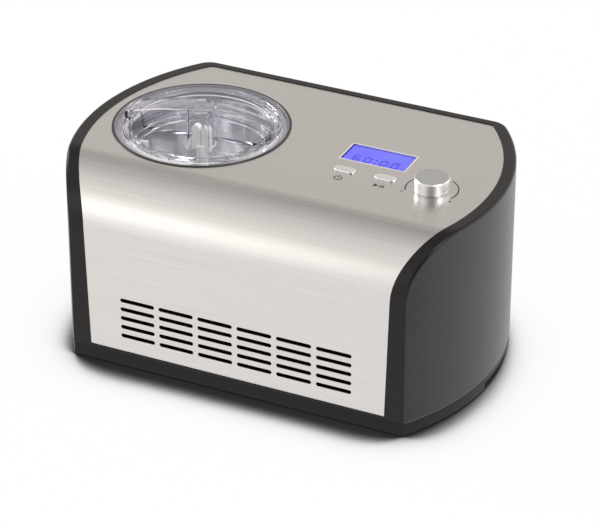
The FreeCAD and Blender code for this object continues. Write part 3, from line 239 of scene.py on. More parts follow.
class PlasticSettings(bpy.types.PropertyGroup):
    """Black mouldings, clear lid, white paddle and the soft and painted pieces inside."""

    housing: colour("Housing", (0.0065, 0.006, 0.0058), "Satin black of the housing")
    # painted light: the sides' paler black stands in for the brighter light falling on them, not a texture of
    # their own
    side: colour("Sides", (0.039, 0.0365, 0.037), "Paler black of the textured sides")
    base: colour("Base", (0.005, 0.0047, 0.0047), "Black of the base")
    cast: colour("Cast", (1.0, 0.93, 0.94), "Tone of the gloss on housing and base")
    # painted highlight: the lip is real, its grey stands in for the light caught along its edge
    lip: colour("Lip", (0.105, 0.098, 0.098), "Grey of the fine lip between base and housing")
    lip_width: length("Lip width", 0.6 * MM, "How far the lip stands out of the base")
    lip_height: length("Lip height", 0.6 * MM, "Height of the lip")
    bulge: length("Side bulge", 39.5 * MM, "How far each side swells from front edge to widest place")
    widest: share("Widest place", 0.467, "Share of the depth from the front to the widest place")
    front_corner: length("Front corner", 3.0 * MM, "Rounding of the front corners, where the lip starts")
    back_corner: length("Back corner", 20.0 * MM, "Rounding of the back corners")
    trim: colour("Trim", (0.012, 0.012, 0.012), "Black of ring and small parts")
    seat: colour("Seat", (0.31, 0.30, 0.335), "Grey of the ring under the lid")
    ring_line: length("Ring line", 2.6 * MM, "Width of the ring's black outer line")
    line_edge: length("Line edge", 0.1 * MM, "Width over which the ring's grey turns black")
    ring_far: length("Ring reach", 0.2, "Radius that the whole ring lies within")
    lid: colour("Lid", (0.99, 0.99, 0.995), "Clear plastic of the lid")
    index: share("Index", 1.3, "Refraction of the clear plastic")
    clear: colour("Clear", (0.80, 0.78, 1.0), "Tint that thick places of the clear lid take")
    tint: share("Tint", 14.0, "Strength of that tint")
    paddle: colour("Paddle", (0.96, 0.96, 0.955), "White of the paddle")
    nylon: colour("Nylon", (0.82, 0.81, 0.77), "Pale nylon of the shaft bush")
    coat: colour("Coat", (0.004, 0.004, 0.004), "Black coat of the condenser")
    board: colour("Boards", (0.03, 0.15, 0.07), "Green of the circuit boards")
    foam: colour("Foam", (0.78, 0.75, 0.66), "Pale foam round the cold well")
    pore: length("Texture", 0.0007, "Size of the moulded texture")


class DisplaySettings(bpy.types.PropertyGroup):
    """Lit display and its digits."""

    text: StringProperty(name="Time", description="Time shown, in minutes and seconds", default="60:00")
    lit: colour("Lit", (0.165, 0.165, 1.0), "Backlight")
    dim: colour("Dim", (0.125, 0.125, 0.90), "Backlight near the edge")
    ink: colour("Digits", (0.03, 0.02, 0.30), "Dark segments")
    glow: share("Glow", 0.6, "Strength of the backlight")
    body: share("Body", 0.5, "Colour of the plate itself, as a share of the backlight's")
    ink_glow: share("Digit glow", 1.3, "Strength of the light that comes through the segments")
    # painted highlight: the pale strip round the display stands in for the light caught by the steel's cut
    # edge
    cut_highlight_colour: colour("Cut colour", (0.90, 0.89, 0.90), "Pale edge of the steel round the display")
    cut_edge_highlight: length("Cut edge", 0.8 * MM, "Width of that edge")
    cut_highlight_gap: length("Cut gap", 0.5 * MM, "From the display to that edge")
    glass: length("Glass", 0.3 * MM, "Thickness of the glass on the module")
    inset: length("Inset", 0.15 * MM, "From the module's edge to the glass")
    digit_width: length("Digit width", 8.3 * MM, "Width of a digit")
    digit_height: length("Digit height", 11.8 * MM, "Height of a digit")
    stroke: length("Stroke", 2.35 * MM, "Width of a segment")
    digit_pitch: length("Digit pitch", 11.4 * MM, "From one digit to the next")
    colon_gap: length("Colon gap", 5.0 * MM, "Extra space that the colon takes")
    foot: length("Foot", 2.6 * MM, "Edge of the display below the digits")


class PrintSettings(bpy.types.PropertyGroup):
    """Marks printed on the steel."""

    ink: colour("Ink", (0.014, 0.013, 0.012), "Dark print")
    line: length("Line", 1.1 * MM, "Width of a printed line")
    power_r: length("Power radius", 3.7 * MM, "Radius of the power mark")
    power_bar: share("Power bar", 1.35, "Length of the power mark's bar as a share of its radius")
    power_drop: length("Power drop", 15.9 * MM, "Power mark in front of its button")
    start_drop: length("Start drop", 15.5 * MM, "Start mark in front of its button")
    start_height: length("Start height", 5.2 * MM, "Height of the start mark")
    start_bar: share("Start bars", 0.6, "Half width of the start mark's bars as a share of a line's width")
    dial_r: length("Dial radius", 24.8 * MM, "Radius of the arcs round the knob")
    sign_reach: share("Sign reach", 1.14, "Signs' distance from the knob's axis as a share of that radius")


class MakerSettings(bpy.types.PropertyGroup):
    """All settings of the scene."""

    stage: PointerProperty(type=StageSettings)
    steel: PointerProperty(type=SteelSettings)
    metal: PointerProperty(type=MetalSettings)
    plastic: PointerProperty(type=PlasticSettings)
    display: PointerProperty(type=DisplaySettings)
    prints: PointerProperty(type=PrintSettings)


# Shader nodes


def feed(tree, socket, term):
    """Gives a socket a link from another socket, or a plain number."""
    if isinstance(term, bpy.types.NodeSocket):
        tree.links.new(term, socket)
    else:
        socket.default_value = term


def maths(tree, operation, first, second=0.0):
    """Result of one calculation with sockets or numbers."""
    step = tree.nodes.new("ShaderNodeMath")
    step.operation = operation
    feed(tree, step.inputs[0], first)
    feed(tree, step.inputs[1], second)
    return step.outputs["Value"]


def map_range(tree, factor, span, low, high, shape="LINEAR"):
    """Number that goes from low to high while the factor goes over the span."""
    made = tree.nodes.new("ShaderNodeMapRange")
    made.interpolation_type = shape
    for name, value in (("From Min", span[0]), ("From Max", span[1]), ("To Min", low), ("To Max", high)):
        made.inputs[name].default_value = value
    tree.links.new(factor, made.inputs["Value"])
    return made.outputs["Result"]


def cosine(tree, vector, aim):
    """Cosine between a vector of length 1 and a direction."""
    dot = tree.nodes.new("ShaderNodeVectorMath")
    dot.operation = "DOT_PRODUCT"
    dot.inputs[1].default_value = Vector(aim).normalized()
    tree.links.new(vector, dot.inputs[0])
    return dot.outputs["Value"]


def colour_ramp(tree, factor, stops):
    """Colour by a factor; stops are pairs of place and colour."""
    ramp = tree.nodes.new("ShaderNodeValToRGB")
    elements = ramp.color_ramp.elements
    while len(elements) < len(stops):
        elements.new(0.5)
    for element, (spot, value) in zip(elements, stops):
        element.position = spot
        element.color = (*value, 1.0)
    tree.links.new(factor, ramp.inputs["Fac"])
    return ramp.outputs["Color"]


def blend_surface(tree, factor, first, second):
    """Makes the material's surface a blend of two shaders."""
    blend = tree.nodes.new("ShaderNodeMixShader")
    tree.links.new(factor, blend.inputs["Fac"])
    tree.links.new(first, blend.inputs[1])
    tree.links.new(second, blend.inputs[2])
    tree.links.new(blend.outputs["Shader"], tree.nodes["Material Output"].inputs["Surface"])


def principled(material):
    """The material's principled shader."""
    return material.node_tree.nodes["Principled BSDF"]


def placed(material, scale, centre=(0, 0, 0)):
    """Object coordinates about a centre, times a scale along each axis."""
    tree = material.node_tree
    where = tree.nodes.new("ShaderNodeTexCoord")
    move = tree.nodes.new("ShaderNodeMapping")
    move.inputs["Scale"].default_value = scale
    move.inputs["Location"].default_value = [-c * s for c, s in zip(centre, scale)]
    tree.links.new(where.outputs["Object"], move.inputs["Vector"])
    return move.outputs["Vector"]


def grain(material, cell, detail=3.0):
    """Noise with cells of the given size along X, Y and Z."""
    noise = material.node_tree.nodes.new("ShaderNodeTexNoise")
    noise.inputs["Scale"].default_value = 1.0
    noise.inputs["Detail"].default_value = detail
    material.node_tree.links.new(placed(material, [1 / c for c in cell]), noise.inputs["Vector"])
    return noise.outputs["Fac"]


def turning_rings(material, centre, pitch):
    """Fine rings round an upright axis, as a lathe leaves them: by the distance from the centre, so that
    they go round an upright wall as well as a level face."""
    wave = material.node_tree.nodes.new("ShaderNodeTexWave")
    wave.wave_type = "RINGS"
    wave.rings_direction = "SPHERICAL"
    wave.inputs["Scale"].default_value = 1.0
    wave.inputs["Distortion"].default_value = RING_WOBBLE
    scale = math.tau / (WAVE_TURN * pitch)
    material.node_tree.links.new(placed(material, (scale, scale, scale), centre), wave.inputs["Vector"])
    return wave.outputs["Fac"]


# Finishes


def finish(name, **values):
    """Material with one principled shader whose own sockets take the values; underscores are spaces."""
    material = bpy.data.materials.new(name)
    material.use_nodes = True
    for socket, value in values.items():
        value = (*value, 1.0) if isinstance(value, tuple) else value
        principled(material).inputs[socket.replace("_", " ")].default_value = value
    return material


def dimmed(tone, level):
    """Tone at a share of its brightness."""
    return tuple(level * c for c in tone)


def tinted(material, factor, low, high, socket="Base Color"):
    """Colour that goes from low to high over the middle of the factor."""
    tree = material.node_tree
    tone = colour_ramp(tree, factor, list(zip(COLOUR_SPAN, (low, high))))
    tree.links.new(tone, principled(material).inputs[socket])


def ranged(material, factor, low, high):
    """Roughness that goes from low to high over the middle of the factor."""
    tree = material.node_tree
    tree.links.new(map_range(tree, factor, ROUGH_SPAN, low, high), principled(material).inputs["Roughness"])


def relief(material, factor, depth):
    """Bump of the given depth in metres."""
    bump = material.node_tree.nodes.new("ShaderNodeBump")
    bump.inputs["Distance"].default_value = depth
    material.node_tree.links.new(factor, bump.inputs["Height"])
    material.node_tree.links.new(bump.outputs["Normal"], principled(material).inputs["Normal"])


def moulded(name, tone, pore, smooth, rough, depth, gloss=0.5, cast=(1.0, 1.0, 1.0)):
    """Moulded plastic: faint cloudy tone, fine pores in gloss and surface; cast is the tone of its gloss."""
    material = finish(name, Base_Color=tuple(tone), Specular_IOR_Level=gloss, Specular_Tint=tuple(cast))
    clouds = grain(material, (CLOUD_SIZE, CLOUD_SIZE, CLOUD_SIZE))
    tinted(material, clouds, dimmed(tone, MOULD_DIM), tuple(tone))
    fine = grain(material, (pore, pore, pore), detail=2.0)
    ranged(material, fine, smooth, rough)
    relief(material, fine, depth)
    return material


def metal(name, tone, cell, smooth, rough, depth):
    """Bare metal whose grain has the given cell."""
    material = finish(name, Base_Color=tuple(tone), Metallic=1.0)
    lines = grain(material, cell)
    tinted(material, lines, dimmed(tone, METAL_DIM), tuple(tone))
    ranged(material, lines, smooth, rough)
    relief(material, lines, depth)
    return material


def lathe_metal(name, tone, centre, pitch, smooth, rough, depth):
    """Turned metal with fine rings round its axis."""
    material = finish(name, Base_Color=tuple(tone), Metallic=1.0)
    rings = turning_rings(material, centre, pitch)
    tinted(material, rings, dimmed(tone, LATHE_DIM), tuple(tone))
    ranged(material, rings, smooth, rough)
    relief(material, rings, depth)
    return material


def across_grain(material):
    """Points the shader's tangent across a grain that runs along X: normal times X."""
    tree = material.node_tree
    surface = tree.nodes.new("ShaderNodeNewGeometry")
    cross = tree.nodes.new("ShaderNodeVectorMath")
    cross.operation = "CROSS_PRODUCT"
    cross.inputs[1].default_value = (1.0, 0.0, 0.0)
    tree.links.new(surface.outputs["Normal"], cross.inputs[0])
    tree.links.new(cross.outputs["Vector"], principled(material).inputs["Tangent"])


def painted_side_light(material, tone):
    """Painted light: a paler base colour where a wall faces left or right, by the size of the normal's X
    part, for the brighter light that falls on the sides.
    """
    tree = material.node_tree
    surface = tree.nodes.new("ShaderNodeNewGeometry")
    parts = tree.nodes.new("ShaderNodeSeparateXYZ")
    tree.links.new(surface.outputs["Normal"], parts.inputs["Vector"])
    sideways = maths(tree, "ABSOLUTE", parts.outputs["X"])
    mix = tree.nodes.new("ShaderNodeMix")
    mix.data_type = "RGBA"
    mix.inputs["B"].default_value = (*tone, 1.0)
    base = principled(material).inputs["Base Color"]
    tree.links.new(base.links[0].from_socket, mix.inputs["A"])
    tree.links.new(map_range(tree, sideways, PAINTED_SIDE_SPAN, 0.0, 1.0, "SMOOTHSTEP"), mix.inputs["Factor"])
    tree.links.new(mix.outputs["Result"], base)


def lets_light_through(material):
    """Clear plastic that stays clear for the light falling on what it covers."""
    tree = material.node_tree
    ray = tree.nodes.new("ShaderNodeLightPath")
    passing = tree.nodes.new("ShaderNodeBsdfTransparent")
    light = maths(tree, "MAXIMUM", ray.outputs["Is Shadow Ray"], ray.outputs["Is Diffuse Ray"])
    blend_surface(tree, light, principled(material).outputs["BSDF"], passing.outputs["BSDF"])


def by_radius(material, centre, stops):
    """Base colour by the distance from an upright axis; stops are pairs of radius in metres and colour."""
    tree = material.node_tree
    far = stops[-1][0]
    away = tree.nodes.new("ShaderNodeVectorMath")
    away.operation = "LENGTH"
    tree.links.new(placed(material, (1 / far, 1 / far, 0.0), centre), away.inputs[0])
    tone = colour_ramp(tree, away.outputs["Value"], [(radius / far, value) for radius, value in stops])
    tree.links.new(tone, principled(material).inputs["Base Color"])


def dress(material, *nodes):
    """Gives CAD nodes their finish."""
    for node in nodes:
        materials = NODES[node].data.materials
        materials.clear()
        materials.append(material)


# Surfaces


def ribbon(path, half_width, low, high):
    """Flat stroke: at each point of the path a rectangle as wide as the stroke there and from low to high,
    carried along the path and closed at both ends. Returns vertices (4 n, 3) and quads."""
    path = np.asarray(path, float)
    half = np.broadcast_to(np.asarray(half_width, float), len(path))[:, None]
    along = np.gradient(path, axis=0)
    along /= np.linalg.norm(along, axis=1, keepdims=True)
    across = np.stack([-along[:, 1], along[:, 0]], axis=1) * half
    corners = np.stack([path + across, path - across, path - across, path + across], axis=1)
    heights = np.broadcast_to(np.array([low, low, high, high])[None, :, None], (len(path), 4, 1))
    vertices = np.concatenate([corners, heights], axis=2).reshape(-1, 3)
    first, corner = np.meshgrid(4 * np.arange(len(path) - 1), np.arange(4), indexing="ij")
    after = (corner + 1) % 4
    quads = np.stack([first + after, first + corner, first + 4 + corner, first + 4 + after], axis=2)
    last = 4 * (len(path) - 1)
    caps = np.array([[0, 1, 2, 3], [last + 3, last + 2, last + 1, last]])
    return vertices, np.concatenate([quads.reshape(-1, 4), caps])


def printed(path, half_width):
    """Stroke of print on the steel."""
    return ribbon(path, half_width, DECK, DECK + PRINT_LIFT)


def piece(name, shapes, material, body):
    """Object from several (vertices, faces) shapes, which rides on a body."""
    starts = np.cumsum([0] + [len(v) for v, _ in shapes[:-1]])
    vertices = np.concatenate([v for v, _ in shapes])
    faces = np.concatenate([f + start for (_, f), start in zip(shapes, starts)])
    mesh = bpy.data.meshes.new(name)
    mesh.from_pydata(vertices.tolist(), [], faces.tolist())
    mesh.materials.append(material)
    made = bpy.data.objects.new(name, mesh)
    bpy.context.scene.collection.objects.link(made)
    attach(made, body)


def arc(centre, radius, start, end, count=ARC_POINTS):
    """Points on a circle from one angle to another, in degrees."""
    turn = np.radians(np.linspace(start, end, count))
    return np.stack([centre[0] + radius * np.cos(turn), centre[1] + radius * np.sin(turn)], axis=1)


def line(x0, y0, x1, y1):
    """The two ends of a straight stroke."""
    return np.array([[x0, y0], [x1, y1]])


def segment(x0, y0, x1, y1, stroke, low, high):
    """Display segment: straight stroke whose ends come to a point at 45 degrees."""
    reach = math.hypot(x1 - x0, y1 - y0)
    t = np.array([0.0, stroke / 2, reach - stroke / 2, reach]) / reach
    path = np.stack([x0 + t * (x1 - x0), y0 + t * (y1 - y0)], axis=1)
    tip = 0.02 * stroke
    return ribbon(path, [tip, stroke / 2, stroke / 2, tip], low, high)


def digit(sign, x, y, width, height, stroke, low, high):
    """Strokes of one seven-segment digit with its lower left corner at x, y."""
    gap = 0.05 * stroke
    left, right = x + stroke / 2, x + width - stroke / 2
    foot, middle, head = y + stroke / 2, y + height / 2, y + height - stroke / 2
    runs = {
        "a": (left + gap, head, right - gap, head), "g": (left + gap, middle, right - gap, middle),
        "d": (left + gap, foot, right - gap, foot), "b": (right, middle + gap, right, head - gap),
        "c": (right, foot + gap, right, middle - gap), "e": (left, foot + gap, left, middle - gap),
        "f": (left, middle + gap, left, head - gap),
    }
    return [segment(*runs[name], stroke, low, high) for name in SEGMENTS[sign]]


# Operators


class MakerOperator:
    """What the operators share."""

    bl_options = {"REGISTER", "UNDO"}

    def execute(self, context):
        self.build(context.scene.ice_cream_maker)
        return {"FINISHED"}


class MAKER_OT_steel_panel(MakerOperator, bpy.types.Operator):
    """Brush the steel sheet from left to right"""

    bl_idname = "maker.steel_panel"
    bl_label = "Steel panel"

    def build(self, settings):
        steel = settings.steel
        sheet = finish("brushed_steel", Base_Color=tuple(steel.light), Metallic=1.0,
                       Anisotropic=steel.spread)
        across_grain(sheet)
        strokes = grain(sheet, (steel.grain_long, steel.grain_wide, steel.grain_wide), detail=4.0)
        tinted(sheet, strokes, tuple(steel.dark), tuple(steel.light))
        ranged(sheet, strokes, steel.smooth, steel.rough)
        relief(sheet, strokes, steel.grain_deep)
        dress(sheet, "top_front_panel")


class MAKER_OT_housing(MakerOperator, bpy.types.Operator):
    """Finish the black mouldings, feet, screws and gland, and lay the lip between base and housing, whose
    pale grey is a painted highlight
    """

    bl_idname = "maker.housing"
    bl_label = "Housing"

    def build(self, settings):
        plastic = settings.plastic
        pore = plastic.pore
        shell = moulded("black_housing", plastic.housing, pore, smooth=0.26, rough=0.36, depth=0.01 * MM,
                        gloss=0.3, cast=plastic.cast)
        # painted light: walls that face left or right take a paler black for the light that falls on them
        painted_side_light(shell, plastic.side)
        dress(shell, "housing_shell")
        base = moulded("black_base", plastic.base, pore, smooth=0.4, rough=0.5, depth=0.012 * MM,
                       gloss=0.25, cast=plastic.cast)
        dress(base, "base_tray")
        # the lip stands out of the base; its grey is a painted highlight along the joint
        lip = moulded("parting_lip_highlight", plastic.lip, pore, smooth=0.3, rough=0.4, depth=0.005 * MM)
        foot = HOUSING_LOW.z - plastic.lip_height
        bead = ribbon(self.parting_line(plastic), plastic.lip_width / 2, foot, HOUSING_LOW.z)
        piece("parting_lip_highlight", [bead], lip, "machine")
        ring = moulded("ring_trim", plastic.trim, pore, smooth=0.26, rough=0.34, depth=0.006 * MM)
        edge = RING_HIGH.x - BOWL_AXIS.x - plastic.ring_line
        by_radius(ring, BOWL_AXIS, [(0.0, plastic.seat), (edge, plastic.seat),
                                    (edge + plastic.line_edge, plastic.trim),
                                    (plastic.ring_far, plastic.trim)])
        dress(ring, "well_ring")
        rubber = moulded("rubber", plastic.trim, 2 * pore, smooth=0.7, rough=0.85, depth=0.03 * MM)
        dress(rubber, "rubber_feet", "cable_gland", "compressor_grommets")
        zinc = metal("zinc_plate", settings.metal.zinc, cell=(0.004, 0.004, 0.004),
                     smooth=0.3, rough=0.45, depth=0.004 * MM)
        dress(zinc, "base_screws", "motor_screws", "motor_bracket", "drive_gearmotor", "rotary_encoder")

    def parting_line(self, plastic):
        """Plan of the step between base and housing: the right side's arc from front to back, the back
        corner's arc, and the same again mirrored for the left side."""
        inset = (plastic.lip_width + PRINT_LIFT) / 2
        reach = plastic.widest * (HOUSING_HIGH.y - HOUSING_LOW.y)
        radius = (reach ** 2 + plastic.bulge ** 2) / (2 * plastic.bulge)
        x, y = HOUSING_HIGH.x - radius, HOUSING_LOW.y + reach
        corner_y = HOUSING_HIGH.y - plastic.back_corner
        corner_x = x + math.sqrt((radius - plastic.back_corner) ** 2 - (corner_y - y) ** 2)
        first = math.degrees(math.asin((plastic.front_corner - reach) / radius))
        turn = math.degrees(math.atan2(corner_y - y, corner_x - x))
        side = arc((x, y), radius - inset, first, turn, count=96)
        corner = arc((corner_x, corner_y), plastic.back_corner - inset, turn, 90, count=24)
        right = np.concatenate([side, corner[1:]])
        return np.concatenate([right, right[::-1] * (-1, 1)])


class MAKER_OT_bowl_and_lid(MakerOperator, bpy.types.Operator):
    """Finish bowl, paddle, clear lid and the cold well"""

    bl_idname = "maker.bowl_and_lid"
    bl_label = "Bowl and lid"

    def build(self, settings):
        plastic, metals = settings.plastic, settings.metal
        dress(self.clear_plastic(plastic), "lid")
        bowl = lathe_metal("polished_bowl", metals.bowl, BOWL_RINGS, metals.bowl_pitch,
                           smooth=0.12, rough=0.2, depth=0.0001 * MM)
        dress(bowl, "mixing_bowl")
        white = moulded("white_plastic", plastic.paddle, plastic.pore,
                        smooth=0.25, rough=0.35, depth=0.004 * MM)
        dress(white, "mixing_paddle")
        well = metal("aluminium", metals.well, cell=(0.003, 0.003, 0.05),
                     smooth=0.25, rough=0.4, depth=0.004 * MM)
        dress(well, "freezing_well")
        shaft = metal("turned_steel", metals.shaft, cell=(0.004, 0.004, 0.0004),
                      smooth=0.18, rough=0.3, depth=0.002 * MM)
        dress(shaft, "drive_shaft")
        nylon = moulded("nylon", plastic.nylon, plastic.pore, smooth=0.4, rough=0.5, depth=0.004 * MM)
        dress(nylon, "shaft_bush")

    def clear_plastic(self, plastic):
        """Clear plastic that takes a tint where it is thick."""
        clear = finish("clear_plastic", Base_Color=tuple(plastic.lid), Transmission_Weight=1.0,
                       IOR=plastic.index)
        tree = clear.node_tree
        tint = tree.nodes.new("ShaderNodeVolumeAbsorption")
        tint.inputs["Color"].default_value = (*plastic.clear, 1.0)
        tint.inputs["Density"].default_value = plastic.tint
        tree.links.new(tint.outputs["Volume"], tree.nodes["Material Output"].inputs["Volume"])
        ranged(clear, grain(clear, (0.02, 0.02, 0.02)), low=0.015, high=0.05)
        lets_light_through(clear)
        return clear


class MAKER_OT_controls(MakerOperator, bpy.types.Operator):
    """Finish the knob and the two press buttons"""

    bl_idname = "maker.controls"
    bl_label = "Controls"

    def build(self, settings):
        metals = settings.metal
        face, wall = metals.knob_face, metals.knob_wall_painted_light
        knob = lathe_metal("satin_aluminium", face, KNOB_RINGS, metals.knob_pitch,
                           smooth=0.26, rough=0.34, depth=0.0005 * MM)
        edge = (KNOB_HIGH.x - KNOB_LOW.x) / 2
        far = 1.2 * edge
        # painted reflection: darker tone on the knob's top, brighter on its wall, for what each mirrors
        by_radius(knob, KNOB_AXIS, [(0.0, face), (edge - metals.face_edge, face),
                                    (edge - metals.wall_edge, wall), (far, wall)])
        dress(knob, "control_knob")
        cap = metal("silver_cap", metals.cap, cell=(0.0006, 0.0006, 0.0006),
                    smooth=0.28, rough=0.36, depth=0.0005 * MM)
        dress(cap, "power_button", "start_button")


class MAKER_OT_inside(MakerOperator, bpy.types.Operator):
    """Finish the cooling set, the boards and the other pieces inside"""

    bl_idname = "maker.inside"
    bl_label = "Inside"

    def build(self, settings):
        plastic = settings.plastic
        pore = plastic.pore
        fins = metal("fin_aluminium", settings.metal.fins, cell=(0.02, 0.0008, 0.02),
                     smooth=0.35, rough=0.5, depth=0.01 * MM)
        dress(fins, "evaporator_sleeve")
        coat = moulded("black_coat", plastic.coat, pore, smooth=0.5, rough=0.65, depth=0.01 * MM, gloss=0.2)
        dress(coat, "condenser_fins", "condenser_tubes")
        trim = moulded("inner_trim", plastic.trim, pore, smooth=0.4, rough=0.55, depth=0.01 * MM)
        dress(trim, "fan_shroud", "cooling_fan", "control_carrier", "button_switches")
        board = moulded("circuit_board", plastic.board, 3 * pore, smooth=0.25, rough=0.4, depth=0.02 * MM)
        dress(board, "supply_board", "control_board")
        paint = moulded("black_paint", plastic.trim, 4 * pore, smooth=0.2, rough=0.35, depth=0.03 * MM)
        dress(paint, "compressor")
        foam = moulded("foam", plastic.foam, 5 * pore, smooth=0.8, rough=0.95, depth=0.2 * MM)
        dress(foam, "insulation_jacket")


class MAKER_OT_display(MakerOperator, bpy.types.Operator):
    """Light the display and set the time on it"""

    bl_idname = "maker.display"
    bl_label = "Display"

    def build(self, settings):
        lcd, plastic = settings.display, settings.plastic
        case = moulded("display_case", plastic.trim, plastic.pore, smooth=0.3, rough=0.4, depth=0.005 * MM)
        dress(case, "display_module")
        top = LCD_HIGH.z + lcd.glass
        self.screen(lcd, top)
        self.cut_edge_highlight(lcd, plastic.pore)
        self.digits(lcd, top)

    def screen(self, lcd, top):
        """Lit plate on the module: one ribbon along its middle."""
        screen = finish("display", Roughness=0.14, Emission_Strength=lcd.glow, Specular_IOR_Level=0.4)
        shade = grain(screen, (0.05, 0.03, 0.02), detail=2.0)
        tinted(screen, shade, dimmed(lcd.dim, lcd.body), dimmed(lcd.lit, lcd.body))
        tinted(screen, shade, tuple(lcd.dim), tuple(lcd.lit), "Emission Color")
        middle = (LCD_LOW.y + LCD_HIGH.y) / 2
        run = line(LCD_LOW.x + lcd.inset, middle, LCD_HIGH.x - lcd.inset, middle)
        half = (LCD_HIGH.y - LCD_LOW.y) / 2 - lcd.inset
        piece("display_screen", [ribbon(run, half, LCD_HIGH.z, top)], screen, "machine")

    def cut_edge_highlight(self, lcd, pore):
        """Painted highlight on the steel's cut edge: four flat pale strokes round the module."""
        bright = moulded("cut_edge_highlight", lcd.cut_highlight_colour, pore, smooth=0.2, rough=0.3, depth=0.002 * MM)
        half = lcd.cut_edge_highlight / 2
        out = lcd.cut_highlight_gap + half
        left, right = LCD_LOW.x - out, LCD_HIGH.x + out
        front, back = LCD_LOW.y - out, LCD_HIGH.y + out
        sides = (
            (left - half, front, right + half, front), (left - half, back, right + half, back),
            (left, front + half, left, back - half), (right, front + half, right, back - half),
        )
        strokes = [printed(line(*side), half) for side in sides]
        piece("display_edge_highlight", strokes, bright, "machine")

    def digits(self, lcd, low):
        """Dark segments of the time, with a colon of two square dots."""
        ink = finish("display_ink", Roughness=0.2, Emission_Strength=lcd.ink_glow)
        cloud = grain(ink, (0.01, 0.01, 0.01))
        for socket in ("Base Color", "Emission Color"):
            tinted(ink, cloud, dimmed(lcd.ink, SEGMENT_DIM), tuple(lcd.ink), socket)
        count = sum(sign in SEGMENTS for sign in lcd.text)
        room = (count - 1) * lcd.digit_pitch + lcd.digit_width + lcd.colon_gap
        x = (LCD_LOW.x + LCD_HIGH.x) / 2 - room / 2
        y = LCD_LOW.y + lcd.foot
        high = low + PRINT_LIFT
        half = lcd.stroke / 2
        strokes = []
        for sign in lcd.text:
            if sign in SEGMENTS:
                strokes += digit(sign, x, y, lcd.digit_width, lcd.digit_height, lcd.stroke, low, high)
                x += lcd.digit_pitch
            else:
                spot = x + (lcd.colon_gap - (lcd.digit_pitch - lcd.digit_width)) / 2
                for rise in COLON_RISES:
                    level = y + rise * lcd.digit_height
                    strokes.append(ribbon(line(spot - half, level, spot + half, level), half, low, high))
                x += lcd.colon_gap
        piece("display_digits", strokes, ink, "machine")


class MAKER_OT_printed_marks(MakerOperator, bpy.types.Operator):
    """Print the power mark, the start mark and the arcs round the knob"""

    bl_idname = "maker.printed_marks"
    bl_label = "Printed marks"

    def build(self, settings):
        marks = settings.prints
        ink = finish("printed_ink", Roughness=0.5)
        tinted(ink, grain(ink, (0.002, 0.002, 0.002)), dimmed(marks.ink, PRINT_DIM), tuple(marks.ink))
        piece("power_mark", self.power(marks), ink, "machine")
        piece("start_mark", self.start(marks), ink, "machine")
        piece("dial_marks", self.dial(marks), ink, "machine")

    def power(self, marks):
        """Open circle with a bar through its gap."""
        x = (POWER_LOW.x + POWER_HIGH.x) / 2
        y = (POWER_LOW.y + POWER_HIGH.y) / 2 - marks.power_drop
        half = marks.line / 2
        bar = line(x, y, x, y + marks.power_bar * marks.power_r)
        return [printed(arc((x, y), marks.power_r, *POWER_ARC), half), printed(bar, half)]

    def start(self, marks):
        """Triangle that points to the right, and two upright bars."""
        x = (START_LOW.x + START_HIGH.x) / 2
        y = (START_LOW.y + START_HIGH.y) / 2 - marks.start_drop
        tall = marks.start_height / 2
        arrow = line(x + ARROW_BACK * tall, y, x + ARROW_TIP * tall, y)
        strokes = [printed(arrow, [half * tall for half in ARROW_HALVES])]
        for shift in START_BARS:
            bar = x + shift * tall
            strokes.append(printed(line(bar, y - tall, bar, y + tall), marks.start_bar * marks.line))
        return strokes

    def dial(self, marks):
        """Two arcs that swell towards a minus and a plus sign."""
        centre = (KNOB_AXIS.x, KNOB_AXIS.y)
        half = marks.line / 2
        arm = SIGN_ARM * marks.line
        reach = marks.sign_reach * marks.dial_r
        minus_x, minus_y = arc(centre, reach, MINUS_TURN, MINUS_TURN, count=1)[0]
        plus_x, plus_y = arc(centre, reach, PLUS_TURN, PLUS_TURN, count=1)[0]
        left, right = (half * np.linspace(*swell, ARC_POINTS) for swell in (LEFT_SWELL, RIGHT_SWELL))
        return [
            printed(arc(centre, marks.dial_r, *DIAL_LEFT), left),
            printed(arc(centre, marks.dial_r, *DIAL_RIGHT), right),
            printed(line(minus_x - arm, minus_y, minus_x + arm, minus_y), MINUS_WIDTH * half),
            printed(line(plus_x - arm, plus_y, plus_x + arm, plus_y), PLUS_WIDTH * half),
            printed(line(plus_x, plus_y - arm, plus_x, plus_y + arm), PLUS_WIDTH * half),
        ]


